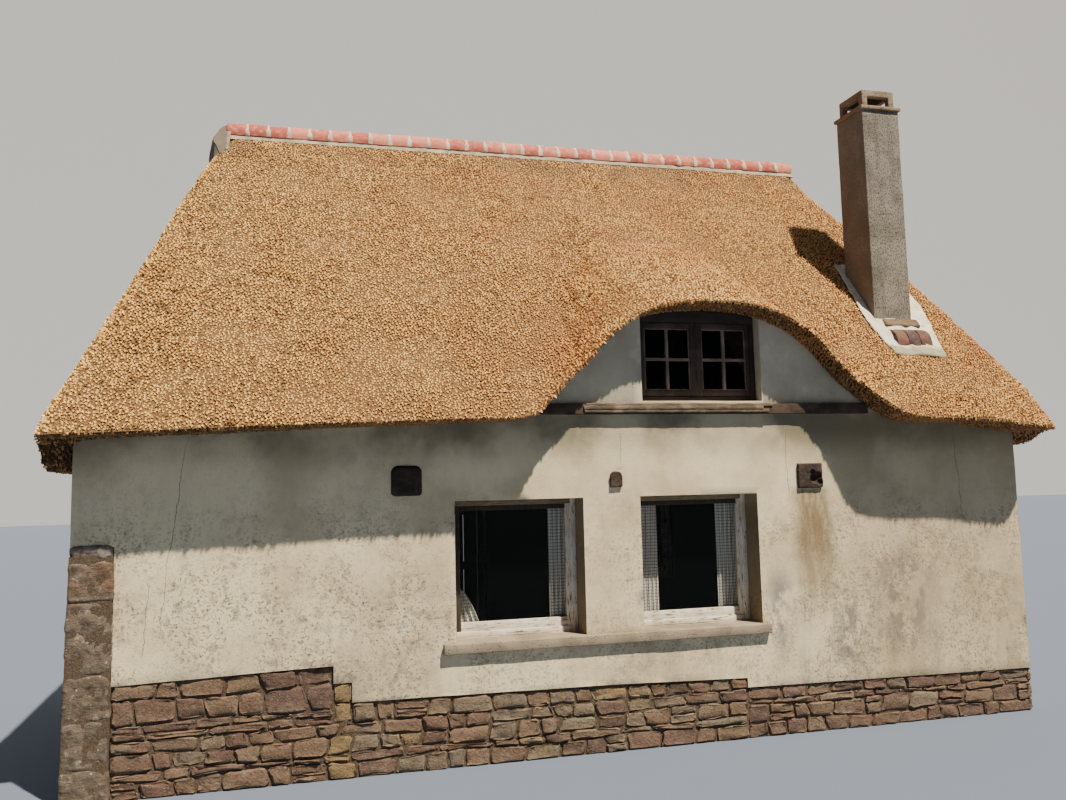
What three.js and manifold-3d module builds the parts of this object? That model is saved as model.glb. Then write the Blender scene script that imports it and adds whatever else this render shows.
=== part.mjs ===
// A small thatched cottage: rendered rubble walls on a stone base, a hipped reed thatch with an
// eyebrow dormer, a clay tile ridge and a square concrete chimney.
// Millimetres, +Z up, the front faces -Y. Sizes are in the house frame: X from the outer face of
// the left wall, Y from the outer face of the front wall, Z from the lowest ground. The whole
// house is then set with its middle over the origin.

import * as THREE from "three";
import { mergeVertices } from "three/addons/utils/BufferGeometryUtils.js";
import Module from "manifold-3d";

const wasm = await Module();
wasm.setup();

// Walls
const houseLength = 8000;
const houseDepth = 4324;
const wallThickness = 420;
const frontWallTop = 2590;
const dormerWallFoot = 2680;

// The front wall stands higher here, up to the thatch, as the eyebrow lifts the thatch off it
const wallShoulder = { left: 3000, right: 7100 };

const leftWallTop = 2299;
const rightWallTop = 2399;
const baseTop = 520;
const baseSetBack = 22;
const floorTop = 250;
const loftFloorThickness = 30;
const seatGap = 0.3;

// The stepped upper edge of the bare stone base along the front, left to right
const frontBaseEdge = [
  [0, 775], [1820, 818], [1820, 690], [1955, 690], [1955, 545],
  [4050, 520], [5190, 486], [5190, 410], [6900, 385], [houseLength, 375],
];
const quoin = { left: -8, foot: -30, right: 290, front: -18, depth: 300, top: 1750, crown: 45 };

// Ground floor windows and their shared sill
const windowBottom = 924;
const windowTop = 2006;
const windowSetBack = 220;
const leftWindow = { left: 2742, right: 3799 };
const rightWindow = { left: 4292, right: 5353 };
const windowFrame = { width: 45, depth: 80 };
const windowSash = { width: 40, depth: 45, bottomRail: 70 };
const glassThickness = 4;
const glassEdge = 8;
const frontSill = { left: 2643, right: 5412, bottom: 845, front: -50, back: 215 };

// Curtains behind the ground floor glass: outer edge, inner edge and lower hem of each
const curtainDepth = 330;
const curtainThickness = 24;
const rodRadius = 8;
const rodHeight = 1965;
const curtainSizes = [
  ["left_window_curtain_left", 2760, 2880, 1010],
  ["left_window_curtain_right", 3590, 3780, 960],
  ["right_window_curtain_left", 4310, 4560, 960],
  ["right_window_curtain_right", 5110, 5335, 960],
];

// Beams from front to back that carry the loft floor
const beamEnd = 25;
const tieBeams = [
  { name: "tie_beam_left", left: 2250, right: 2490, bottom: 2055, top: 2290 },
  { name: "tie_beam_middle", left: 4030, right: 4135, bottom: 2085, top: 2213 },
  { name: "tie_beam_right", left: 5745, right: 5980, bottom: 2040, top: 2250 },
];

// Dormer under the eyebrow
const dormerBeam = { left: 3420, right: 6450, front: -50, top: 2765 };
const dormerBoard = { left: 3806, right: 5541, front: -66, bottom: 2692, top: 2769 };
const dormerWallThickness = 140;
const dormerWindow = { left: 4340, right: 5445, bottom: 2792, headBottom: 3476, setBack: 105 };
const dormerFrame = { side: 44, foot: 47, depth: 60 };
const casement = { stile: 36, meetingStile: 57, topRail: 50, bottomRail: 56, depth: 40, setIn: 10 };

// Thatch
const eaveOverhang = 405;
const hipOverhang = 190;
const thatchUpright = 391;
const hipUpright = 315;
const eaveCorner = 160;
const innerCorner = 60;
const leftHipEave = 2300;
const rightHipEave = 2400;
const hipDropLength = 320;
const backEave = 2600;
const ridgeStart = 921;
const ridgeSeat = 5520;
const ridgeHalfWidth = 130;
const innerRidge = 5140;
const innerRidgeHalfWidth = 25;
const eyebrowPitch = 0.62;
const eyebrowBlend = 130;
const eyebrowMiddle = 4930;
const eyebrowFlare = 1.03;
const eyebrowLeft = 3300;
const eyebrowRight = 6600;
const eyebrowRecess = 125;
const eyebrowInnerDrop = 25;
const eyebrowFootHeight = 400;
const thatchGap = 0.9;
const swellReach = 1300;

// How far each hip swells beyond a straight slope, from the eave at 0 to the ridge at 1
const hipSwell = {
  left: [[0, 0], [0.05, 30], [0.12, 24], [0.42, 16], [0.55, 28], [0.75, 40], [0.9, 22], [1, 0]],
  right: [[0, 0], [0.05, 54], [0.12, 125], [0.42, 130], [0.55, 120], [0.75, 40], [0.9, -20], [1, 0]],
};

// Height of the lower lip of the front thatch along X, without and then over the dormer
const frontEave = [
  [-190, 2530], [450, 2550], [1840, 2598], [2840, 2625], [4900, 2650],
  [6450, 2645], [6920, 2617], [7440, 2598], [7800, 2553], [8190, 2520],
];
const eyebrowLip = [
  [3300, 2590], [3555, 2885], [3740, 3045], [3985, 3300], [4215, 3462], [4407, 3545],
  [4700, 3588], [4990, 3600], [5287, 3575], [5487, 3516], [5687, 3427], [5885, 3273],
  [6080, 3060], [6280, 2876], [6600, 2590],
];

// Ridge
const ridgeTile = { radius: 114, thickness: 15, centre: 5607, droop: 16 };
const ridgeMortar = { halfWidth: 138, shoulder: 5574 };

// The mortar that is turned down over the left hip, as [x, z], [y from the middle, z] and [x, y]
const endMortar = {
  profile: [
    [960, 5690], [921, 5690], [861, 5620], [804, 5514], [778, 5398], [766, 5320], [764, 5250],
    [775, 5170], [960, 5170],
  ],
  face: [
    [-250, 5170], [-262, 5300], [-215, 5430], [-150, 5530], [-112, 5600], [-85, 5665], [-40, 5688],
    [40, 5688], [85, 5665], [112, 5600], [150, 5530], [215, 5430], [262, 5300], [250, 5170],
  ],
  plan: [
    [1000, -270], [880, -260], [815, -200], [775, -120], [755, -50],
    [755, 50], [775, 120], [815, 200], [880, 260], [1000, 270],
  ],
};

// Chimney
const stack = { left: 6903, right: 7309, front: 421, back: 861, top: 5660, wall: 90, flueFoot: 1000 };
const collar = { top: 5728, overhang: 20 };
const cap = { slabBottom: 5836, slabTop: 5900, inset: 25, leg: 60 };
const flashingThickness = 30;
const flashingOutline = [
  [6850, 960], [6800, 400], [6885, 105], [7430, 105], [7465, 270], [7560, 600], [7440, 960],
];
const apron = { left: 6970, right: 7350, front: 165, back: 375, thickness: 20 };

// Unseen back: one plain door and one window like those in front
const backDoor = { left: 2900, right: 3850, top: 2030, setBack: 120 };
const doorFrame = { width: 60, depth: 90 };
const doorLeaf = { thickness: 40, setIn: 20 };
const backWindow = { left: 5180, right: 6240 };

// Roof timbers
const rafter = { width: 70, depth: 110 };
const frontRafters = [1250, 2000, 2800, 3500, 4200, 5600, 6200, 6800];
const backRafters = [1250, 2050, 2850, 3650, 4450, 5250, 6050, 6850];
const ridgeBeam = { halfWidth: 40, depth: 160, drop: 60, past: 100 };

// Shapes

// A closed three.js geometry as a solid that can be joined and cut
function solid(geometry) {
  const bare = geometry.clone();
  bare.deleteAttribute("normal");
  bare.deleteAttribute("uv");
  const merged = mergeVertices(bare, 1e-3);
  return new wasm.Manifold(new wasm.Mesh({
    numProp: 3,
    vertProperties: new Float32Array(merged.attributes.position.array),
    triVerts: new Uint32Array(merged.index.array),
  }));
}

// The three.js geometry of a solid
function geometryOf(shape) {
  const mesh = shape.getMesh();
  const geometry = new THREE.BufferGeometry();
  geometry.setAttribute("position", new THREE.BufferAttribute(new Float32Array(mesh.vertProperties), 3));
  geometry.setIndex(new THREE.BufferAttribute(new Uint32Array(mesh.triVerts), 1));
  geometry.computeVertexNormals();
  return geometry;
}

function block(x0, x1, y0, y1, z0, z1) {
  const geometry = new THREE.BoxGeometry(x1 - x0, y1 - y0, z1 - z0);
  geometry.translate((x0 + x1) / 2, (y0 + y1) / 2, (z0 + z1) / 2);
  return solid(geometry);
}

// An outline of [x, z] points, extruded from y0 to y1
function wallShape(outline, y0, y1) {
  const shape = new THREE.Shape(outline.map(([x, z]) => new THREE.Vector2(x, z)));
  const geometry = new THREE.ExtrudeGeometry(shape, { depth: y1 - y0, bevelEnabled: false });
  geometry.rotateX(Math.PI / 2);
  geometry.translate(0, y1, 0);
  return solid(geometry);
}

// An outline of [x, y] points, extruded from z0 to z1
function planShape(outline, z0, z1) {
  const shape = new THREE.Shape(outline.map(([x, y]) => new THREE.Vector2(x, y)));
  const geometry = new THREE.ExtrudeGeometry(shape, { depth: z1 - z0, bevelEnabled: false });
  geometry.translate(0, 0, z0);
  return solid(geometry);
}

// An outline of [y, z] points, extruded from x0 to x1
function sectionShape(outline, x0, x1) {
  const shape = new THREE.Shape(outline.map(([y, z]) => new THREE.Vector2(y, z)));
  const geometry = new THREE.ExtrudeGeometry(shape, { depth: x1 - x0, bevelEnabled: false });
  geometry.rotateX(Math.PI / 2);
  geometry.rotateZ(Math.PI / 2);
  geometry.translate(x0, 0, 0);
  return solid(geometry);
}

// A smooth line through [x, z] points, read at x
function heightAlong(points, x) {
  const last = points.length - 1;
  if (x <= points[0][0]) return points[0][1];
  if (x >= points[last][0]) return points[last][1];
  const i = points.findIndex(([px], n) => n < last && x < points[n + 1][0] && x >= px);
  const slope = (n) => {
    const before = points[Math.max(n - 1, 0)];
    const after = points[Math.min(n + 1, last)];
    return (after[1] - before[1]) / (after[0] - before[0]);
  };
  const [x0, z0] = points[i];
  const [x1, z1] = points[i + 1];
  const span = x1 - x0;
  const t = (x - x0) / span;
  const rise = t * t * (3 - 2 * t);
  return z0 * (1 - rise) + z1 * rise
    + span * (slope(i) * t * (1 - t) ** 2 - slope(i + 1) * t * t * (1 - t));
}

// The larger of two heights, rounded where they meet
function roundedMax(a, b, width) {
  const near = Math.max(width - Math.abs(a - b), 0) / width;
  return Math.max(a, b) + near * near * width / 4;
}

function smoothStep(from, to, x) {
  const t = Math.min(Math.max((x - from) / (to - from), 0), 1);
  return t * t * (3 - 2 * t);
}

// Roof surface

// Points round a rectangle with rounded corners, as { side, u } with u from 0 to 1 on each side
const frontSteps = 60;
const hipPlaces = [0, 0.02, 0.045, 0.075, 0.2, 0.5, 0.8, 0.925, 0.955, 0.98, 1];
const backSteps = 10;
const cornerSteps = 4;
const slopeRows = [0, 0.05, 0.12, 0.2, 0.3, 0.42, 0.55, 0.75, 0.9, 1];

function roofPlaces() {
  const places = [];
  const corner = (n) => {
    for (let i = 1; i < cornerSteps; i += 1) places.push({ side: `corner${n}`, u: i / cornerSteps });
  };
  for (let i = 0; i <= frontSteps; i += 1) places.push({ side: "front", u: i / frontSteps });
  corner(0);
  for (const u of hipPlaces) places.push({ side: "right", u });
  corner(1);
  for (let i = 0; i <= backSteps; i += 1) places.push({ side: "back", u: i / backSteps });
  corner(2);
  for (const u of hipPlaces) places.push({ side: "left", u });
  corner(3);
  return places;
}

// The plan point of a place on a rounded rectangle given by its edges and corner radius
function planPoint(place, edges) {
  const { x0, x1, y0, y1, r } = edges;
  const { side, u } = place;
  const turn = (cx, cy, start) => {
    const angle = start + u * Math.PI / 2;
    return [cx + r * Math.cos(angle), cy + r * Math.sin(angle)];
  };
  if (side === "front") return [x0 + r + u * (x1 - x0 - 2 * r), y0];
  if (side === "right") return [x1, y0 + r + u * (y1 - y0 - 2 * r)];
  if (side === "back") return [x1 - r - u * (x1 - x0 - 2 * r), y1];
  if (side === "left") return [x0, y1 - r - u * (y1 - y0 - 2 * r)];
  if (side === "corner0") return turn(x1 - r, y0 + r, -Math.PI / 2);
  if (side === "corner1") return turn(x1 - r, y1 - r, 0);
  if (side === "corner2") return turn(x0 + r, y1 - r, Math.PI / 2);
  return turn(x0 + r, y0 + r, Math.PI);
}

const outerEave = {
  x0: -hipOverhang, x1: houseLength + hipOverhang,
  y0: -eaveOverhang, y1: houseDepth + eaveOverhang, r: eaveCorner,
};
const innerEave = {
  x0: hipUpright - hipOverhang, x1: houseLength + hipOverhang - hipUpright,
  y0: thatchUpright - eaveOverhang, y1: houseDepth + eaveOverhang - thatchUpright, r: innerCorner,
};
const outerRidge = {
  x0: ridgeStart, x1: houseLength - ridgeStart,
  y0: houseDepth / 2 - ridgeHalfWidth, y1: houseDepth / 2 + ridgeHalfWidth, r: ridgeHalfWidth,
};
const hipRun = (ridgeStart + hipOverhang) / (ridgeSeat - leftHipEave);
const innerRidgeStart = innerEave.x0 + hipRun * (innerRidge - leftHipEave);
const innerTop = {
  x0: innerRidgeStart, x1: houseLength - innerRidgeStart,
  y0: houseDepth / 2 - innerRidgeHalfWidth, y1: houseDepth / 2 + innerRidgeHalfWidth,
  r: innerRidgeHalfWidth,
};

// The height of the eave at a place, with no dormer: the hips hang lower than front and back
function eaveHeight(place) {
  const [x, y] = planPoint(place, outerEave);
  const hip = x < houseLength / 2 ? leftHipEave : rightHipEave;
  const end = y < houseDepth / 2 ? heightAlong(frontEave, x) : backEave;
  if (place.side === "front") return end;
  if (place.side === "back") return backEave;
  if (place.side.startsWith("corner")) return end;
  const fromEnd = Math.min(y - outerEave.y0, outerEave.y1 - y) - eaveCorner;
  return end + (hip - end) * smoothStep(0, hipDropLength, fromEnd);
}

// How far up the eyebrow's flank a place is, from 0 at the plain eave to 1
function browShare(place) {
  const [x] = planPoint(place, outerEave);
  if (place.side !== "front" || x < eyebrowLeft || x > eyebrowRight) return 0;
  return smoothStep(0, eyebrowFootHeight, heightAlong(eyebrowLip, x) - heightAlong(frontEave, x));
}

// The eave's lip, which stands back where it rises over the dormer
function outerEavePoint(place) {
  const [x, y] = planPoint(place, outerEave);
  return [x, y + eyebrowRecess * browShare(place)];
}

// The inner eave opens out a little beside the dormer
function innerEavePoint(place) {
  const [x, y] = planPoint(place, innerEave);
  if (place.side !== "front") return [x, y];
  const [outerX] = planPoint(place, outerEave);
  const flare = (value) => eyebrowMiddle + (value - eyebrowMiddle) * eyebrowFlare;
  const ends = [innerEave.x0 + innerCorner, innerEave.x1 - innerCorner];
  const start = outerEave.x0 + eaveCorner;
  const stop = outerEave.x1 - eaveCorner;
  if (outerX < eyebrowLeft) {
    const t = (outerX - start) / (eyebrowLeft - start);
    return [ends[0] + t * (flare(eyebrowLeft) - ends[0]), y];
  }
  if (outerX > eyebrowRight) {
    const t = (outerX - eyebrowRight) / (stop - eyebrowRight);
    return [flare(eyebrowRight) + t * (ends[1] - flare(eyebrowRight)), y];
  }
  return [flare(outerX), y];
}

// How far a place's outer face moves along X where the hips swell. The front and back follow it.
function swellAt(place, row) {
  const [x] = planPoint(place, outerEave);
  const rightHalf = x > houseLength / 2;
  const past = rightHalf ? outerEave.x1 - x : x - outerEave.x0;
  const share = 1 - smoothStep(eaveCorner, eaveCorner + swellReach, past);
  return (rightHalf ? 1 : -1) * share * heightAlong(rightHalf ? hipSwell.right : hipSwell.left, row);
}

// One ring of the roof: row 0 is the eave and row 1 the ridge
function roofRing(places, row, inner, lift) {
  return places.map((place) => {
    const edges = inner ? innerEave : outerEave;
    const low = inner ? innerEavePoint(place) : outerEavePoint(place);
    const high = planPoint(place, inner ? innerTop : outerRidge);
    const x = low[0] + row * (high[0] - low[0]) + (inner ? 0 : swellAt(place, row));
    const y = low[1] + row * (high[1] - low[1]);
    const eave = eaveHeight(place);
    const rise = (inner ? innerRidge : ridgeSeat) - eave;
    const [outerX] = planPoint(place, outerEave);
    if (place.side !== "front" || outerX < eyebrowLeft || outerX > eyebrowRight) {
      return [x, y, eave + row * rise + lift];
    }
    const plain = eave + rise * (y - edges.y0) / (high[1] - edges.y0);
    const drop = inner ? eyebrowInnerDrop * browShare(place) : 0;
    const brow = heightAlong(eyebrowLip, outerX) - drop + eyebrowPitch * (y - low[1]);
    return [x, y, roundedMax(plain, brow, eyebrowBlend) + lift];
  });
}

// A closed body from rings of equal length, listed from the bottom outside upwards
function ringBody(rings) {
  const size = rings[0].length;
  const positions = rings.flat(2);
  const index = [];
  for (let row = 0; row + 1 < rings.length; row += 1) {
    for (let i = 0; i < size; i += 1) {
      const next = (i + 1) % size;
      const a = row * size + i;
      const b = row * size + next;
      index.push(a, b, a + size, b, b + size, a + size);
    }
  }
  const closeWith = (row, turned) => {
    const ring = rings[row];
    const middle = [0, 1, 2].map((k) => ring.reduce((sum, p) => sum + p[k], 0) / size);
    const centre = positions.length / 3;
    positions.push(...middle);
    for (let i = 0; i < size; i += 1) {
      const a = row * size + i;
      const b = row * size + (i + 1) % size;
      index.push(...(turned ? [b, a, centre] : [a, b, centre]));
    }
  };
  closeWith(0, true);
  closeWith(rings.length - 1, false);
  const geometry = new THREE.BufferGeometry();
  geometry.setAttribute("position", new THREE.BufferAttribute(new Float32Array(positions), 3));
  geometry.setIndex(index);
  return solid(geometry);
}

const places = roofPlaces();
const roofFoot = -500;

// All that lies under the outer face of the thatch, raised by lift
function underThatchTop(lift) {
  const foot = roofRing(places, 0, false, 0).map(([x, y]) => [x, y, roofFoot]);
  return ringBody([foot, ...slopeRows.map((row) => roofRing(places, row, false, lift))]);
}

// All that lies under the thatch's lower face, lowered by drop
function underThatch(drop) {
  const lip = roofRing(places, 0, false, -drop);
  const foot = lip.map(([x, y]) => [x, y, roofFoot]);
  return ringBody([foot, lip, ...slopeRows.map((row) => roofRing(places, row, true, -drop))]);
}

const shelter = underThatch(thatchGap);

// Parts

const parts = [];
function part(name, shape, material) {
  parts.push({ name, shape, material });
}

const finish = {
  render: { color: "#cfc8b4", roughness: 0.95 },
  stone: { color: "#8a6a58", roughness: 0.95 },
  quoinStone: { color: "#8c8072", roughness: 0.95 },
  concrete: { color: "#9a968c", roughness: 0.95 },
  oldTimber: { color: "#5a4838", roughness: 0.9 },
  board: { color: "#8d8579", roughness: 0.9 },
  roofTimber: { color: "#9a7a55", roughness: 0.85 },
  brownJoinery: { color: "#3b2a22", roughness: 0.7 },
  whiteJoinery: { color: "#d9d6cc", roughness: 0.7 },
  glass: { color: "#aebcc0", roughness: 0.05, opacity: 0.35, transparent: true },
  net: { color: "#e6e6e2", roughness: 0.9 },
  brass: { color: "#a58a4b", roughness: 0.4, metalness: 1 },
  thatch: { color: "#c49a5a", roughness: 1 },
  mortar: { color: "#b9b4a6", roughness: 0.95 },
  clay: { color: "#c4694f", roughness: 0.85 },
  floor: { color: "#8f8a80", roughness: 0.95 },
};

const inside = {
  x0: wallThickness, x1: houseLength - wallThickness,
  y0: wallThickness, y1: houseDepth - wallThickness,
};
const far = 9000;

// A slot in a wall for a tie beam, open from face to face
function beamSocket(beam, y0, y1) {
  const g = seatGap;
  return block(beam.left - g, beam.right + g, y0, y1, beam.bottom - g, beam.top + g);
}

function windowHole(opening, y0, y1) {
  return block(opening.left, opening.right, y0, y1, windowBottom, windowTop);
}

function addFrontWall() {
  const g = seatGap;
  const edge = frontBaseEdge.map(([x, z]) => [x, z + g]);
  const beam = { left: dormerBeam.left - g, right: dormerBeam.right + g };
  const outline = [
    ...edge,
    [houseLength, frontWallTop],
    [wallShoulder.right, frontWallTop], [wallShoulder.right, dormerBeam.top],
    [beam.right, dormerBeam.top], [beam.right, dormerWallFoot],
    [beam.left, dormerWallFoot], [beam.left, dormerBeam.top],
    [wallShoulder.left, dormerBeam.top], [wallShoulder.left, frontWallTop],
    [0, frontWallTop],
  ];
  let wall = wallShape(outline, 0, wallThickness).intersect(shelter);
  for (const opening of [leftWindow, rightWindow]) {
    wall = wall.subtract(windowHole(opening, -far, far));
  }
  for (const tieBeam of tieBeams) wall = wall.subtract(beamSocket(tieBeam, -far, far));
  const sill = frontSill;
  const sillSeat = block(sill.left - g, sill.right + g, -far, sill.back + g, sill.bottom - g, windowBottom);
  const quoinSeat = block(-far, quoin.right + g, -far, quoin.depth + g, -far, quoin.top + g);
  part("front_wall", wall.subtract(sillSeat).subtract(quoinSeat), finish.render);
}

function addFrontBase() {
  const outline = [[0, 0], [houseLength, 0], ...[...frontBaseEdge].reverse()];
  const quoinSeat = block(-far, quoin.right + seatGap, -far, quoin.depth + seatGap, -far, far);
  const base = wallShape(outline, baseSetBack, wallThickness).subtract(quoinSeat);
  part("front_stone_base", base, finish.stone);
}

function addQuoin() {
  const outline = [
    [quoin.foot, 0], [quoin.right, 0], [quoin.right, quoin.top - quoin.crown],
    [quoin.right - quoin.crown, quoin.top], [quoin.left + quoin.crown, quoin.top],
    [quoin.left, quoin.top - quoin.crown],
  ];
  part("corner_quoin", wallShape(outline, quoin.front, quoin.depth), finish.quoinStone);
}

function addBackWall() {
  const y0 = houseDepth - wallThickness;
  const outline = [
    [0, baseTop + seatGap], [houseLength, baseTop + seatGap],
    [houseLength, frontWallTop], [0, frontWallTop],
  ];
  let wall = wallShape(outline, y0, houseDepth).intersect(shelter);
  const doorway = block(backDoor.left, backDoor.right, -far, far, floorTop, backDoor.top);
  wall = wall.subtract(doorway).subtract(windowHole(backWindow, -far, far));
  for (const beam of tieBeams) wall = wall.subtract(beamSocket(beam, -far, far));
  part("back_wall", wall, finish.render);
  const base = block(0, houseLength, y0, houseDepth - baseSetBack, 0, baseTop);
  part("back_stone_base", base.subtract(doorway), finish.stone);
}

function addSideWalls() {
  const y0 = wallThickness + seatGap;
  const y1 = houseDepth - wallThickness - seatGap;
  const foot = baseTop + seatGap;
  part("left_wall", block(0, wallThickness, y0, y1, foot, leftWallTop).intersect(shelter), finish.render);
  part("left_stone_base", block(baseSetBack, wallThickness, y0, y1, 0, baseTop), finish.stone);
  const x0 = houseLength - wallThickness;
  part("right_wall", block(x0, houseLength, y0, y1, foot, rightWallTop).intersect(shelter), finish.render);
  const base = block(x0, houseLength - baseSetBack, y0, y1, 0, baseTop);
  part("right_stone_base", base, finish.stone);
}

function addFloors() {
  const { x0, x1, y0, y1 } = inside;
  const g = seatGap;
  part("ground_floor", block(x0 + g, x1 - g, y0 + g, y1 - g, 0, floorTop), finish.floor);
  const bottom = tieBeams[0].top + g;
  const boards = block(x0 + g, x1 - g, y0 + g, y1 - g, bottom, bottom + loftFloorThickness);
  const stackHole = block(stack.left - g, stack.right + g, -far, stack.back + g, -far, far);
  part("loft_floor", boards.subtract(stackHole), finish.roofTimber);
  for (const beam of tieBeams) {
    const log = block(beam.left, beam.right, -beamEnd, houseDepth + beamEnd, beam.bottom, beam.top);
    part(beam.name, log, finish.oldTimber);
  }
}

// A ring round a rectangle of the XZ plane, from y0 to y1
function ring(x0, x1, z0, z1, sides, y0, y1) {
  const { left, right, foot, head } = sides;
  const hole = block(x0 + left, x1 - right, y0 - far, y1 + far, z0 + foot, z1 - head);
  return block(x0, x1, y0, y1, z0, z1).subtract(hole);
}

// A fixed frame with its sash and pane; front is the outer face of the frame, into the house
// goes along inward, which is 1 in the front wall and -1 in the back wall
function addWindow(prefix, opening, front, inward) {
  const g = seatGap;
  const x0 = opening.left + g;
  const x1 = opening.right - g;
  const z0 = windowBottom + g;
  const z1 = windowTop - g;
  const span = (from, to) => (inward > 0 ? [front + from, front + to] : [front - to, front - from]);
  const w = windowFrame.width;
  const even = (size) => ({ left: size, right: size, foot: size, head: size });
  const frame = ring(x0, x1, z0, z1, even(w), ...span(0, windowFrame.depth));
  const sashFrom = 15;
  const s = windowSash.width;
  const sash = ring(
    x0 + w, x1 - w, z0 + w, z1 - w,
    { left: s, right: s, foot: windowSash.bottomRail, head: s },
    ...span(sashFrom, sashFrom + windowSash.depth),
  );
  const paneFrom = sashFrom + (windowSash.depth - glassThickness) / 2;
  const edge = glassEdge;
  const pane = (grow) => block(
    x0 + w + s - edge - grow, x1 - w - s + edge + grow,
    ...span(paneFrom - grow, paneFrom + glassThickness + grow),
    z0 + w + windowSash.bottomRail - edge - grow, z1 - w - s + edge + grow,
  );
  part(`${prefix}_frame`, frame.add(sash).subtract(pane(g)), finish.whiteJoinery);
  part(`${prefix}_glass`, pane(0), finish.glass);
}

function addFrontSill() {
  const { left, right, bottom, front, back } = frontSill;
  const slab = block(left, right, front, back, bottom, windowBottom - seatGap);
  part("front_window_sill", slab, finish.concrete);
}

function rod(x0, x1) {
  const geometry = new THREE.CylinderGeometry(rodRadius, rodRadius, x1 - x0, 12);
  geometry.rotateZ(Math.PI / 2);
  geometry.translate((x0 + x1) / 2, curtainDepth, rodHeight);
  return solid(geometry);
}

function addCurtains() {
  const g = seatGap;
  part("left_window_curtain_rod", rod(leftWindow.left + g, leftWindow.right - g), finish.brass);
  part("right_window_curtain_rod", rod(rightWindow.left + g, rightWindow.right - g), finish.brass);
  const half = curtainThickness / 2;
  for (const [name, x0, x1, hem] of curtainSizes) {
    const cloth = block(x0, x1, curtainDepth - half, curtainDepth + half, hem, rodHeight - rodRadius - g);
    part(name, cloth, finish.net);
  }
}

function addDormer() {
  const g = seatGap;
  const { left, right, front, top } = dormerBeam;
  const beam = block(left, right, front, dormerWallThickness, dormerWallFoot + g, top).intersect(shelter);
  part("dormer_beam", beam, finish.oldTimber);
  const plank = dormerBoard;
  const board = block(plank.left, plank.right, plank.front, front - g, plank.bottom, plank.top);
  part("dormer_board", board, finish.board);
  const w = dormerWindow;
  const hole = block(w.left, w.right, -far, far, w.bottom, far);
  const panel = block(eyebrowLeft, eyebrowRight, 0, dormerWallThickness, top + g, far).intersect(shelter);
  part("dormer_wall", panel.subtract(hole), finish.render);
  addDormerWindow();
}

function addDormerWindow() {
  const g = seatGap;
  const w = dormerWindow;
  const x0 = w.left + g;
  const x1 = w.right - g;
  const z0 = w.bottom + g;
  const f = dormerFrame;
  const y0 = w.setBack;
  const whole = block(x0, x1, y0, y0 + f.depth, z0, far).intersect(shelter);
  const light = block(x0 + f.side, x1 - f.side, -far, far, z0 + f.foot, w.headBottom);
  part("dormer_window_frame", whole.subtract(light), finish.brownJoinery);
  const middle = (x0 + x1) / 2;
  const { stile, meetingStile, topRail, bottomRail } = casement;
  const leaves = [
    ["left", x0 + f.side + g, middle - g / 2, stile, meetingStile],
    ["right", middle + g / 2, x1 - f.side - g, meetingStile, stile],
  ];
  const low = z0 + f.foot + g;
  const high = w.headBottom - g;
  const leafFront = y0 + casement.setIn;
  const paneFront = leafFront + (casement.depth - glassThickness) / 2;
  for (const [name, x2, x3, left, right] of leaves) {
    const leafSides = { left, right, foot: bottomRail, head: topRail };
    const leaf = ring(x2, x3, low, high, leafSides, leafFront, leafFront + casement.depth);
    const pane = (grow) => block(
      x2 + left - glassEdge - grow, x3 - right + glassEdge + grow,
      paneFront - grow, paneFront + glassThickness + grow,
      low + bottomRail - glassEdge - grow, high - topRail + glassEdge + grow,
    );
    part(`dormer_casement_${name}`, leaf.subtract(pane(g)), finish.brownJoinery);
    part(`dormer_glass_${name}`, pane(0), finish.glass);
  }
}

function addBackDoor() {
  const g = seatGap;
  const outer = houseDepth - backDoor.setBack;
  const x0 = backDoor.left + g;
  const x1 = backDoor.right - g;
  const z0 = floorTop + g;
  const z1 = backDoor.top - g;
  const w = doorFrame.width;
  const hole = block(x0 + w, x1 - w, -far, far, -far, z1 - w);
  const frame = block(x0, x1, outer - doorFrame.depth, outer, z0, z1).subtract(hole);
  part("back_door_frame", frame, finish.brownJoinery);
  const leafBack = outer - doorLeaf.setIn;
  const leafFront = leafBack - doorLeaf.thickness;
  const leaf = block(x0 + w + g, x1 - w - g, leafFront, leafBack, z0, z1 - w - g);
  part("back_door", leaf, finish.brownJoinery);
}

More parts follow.
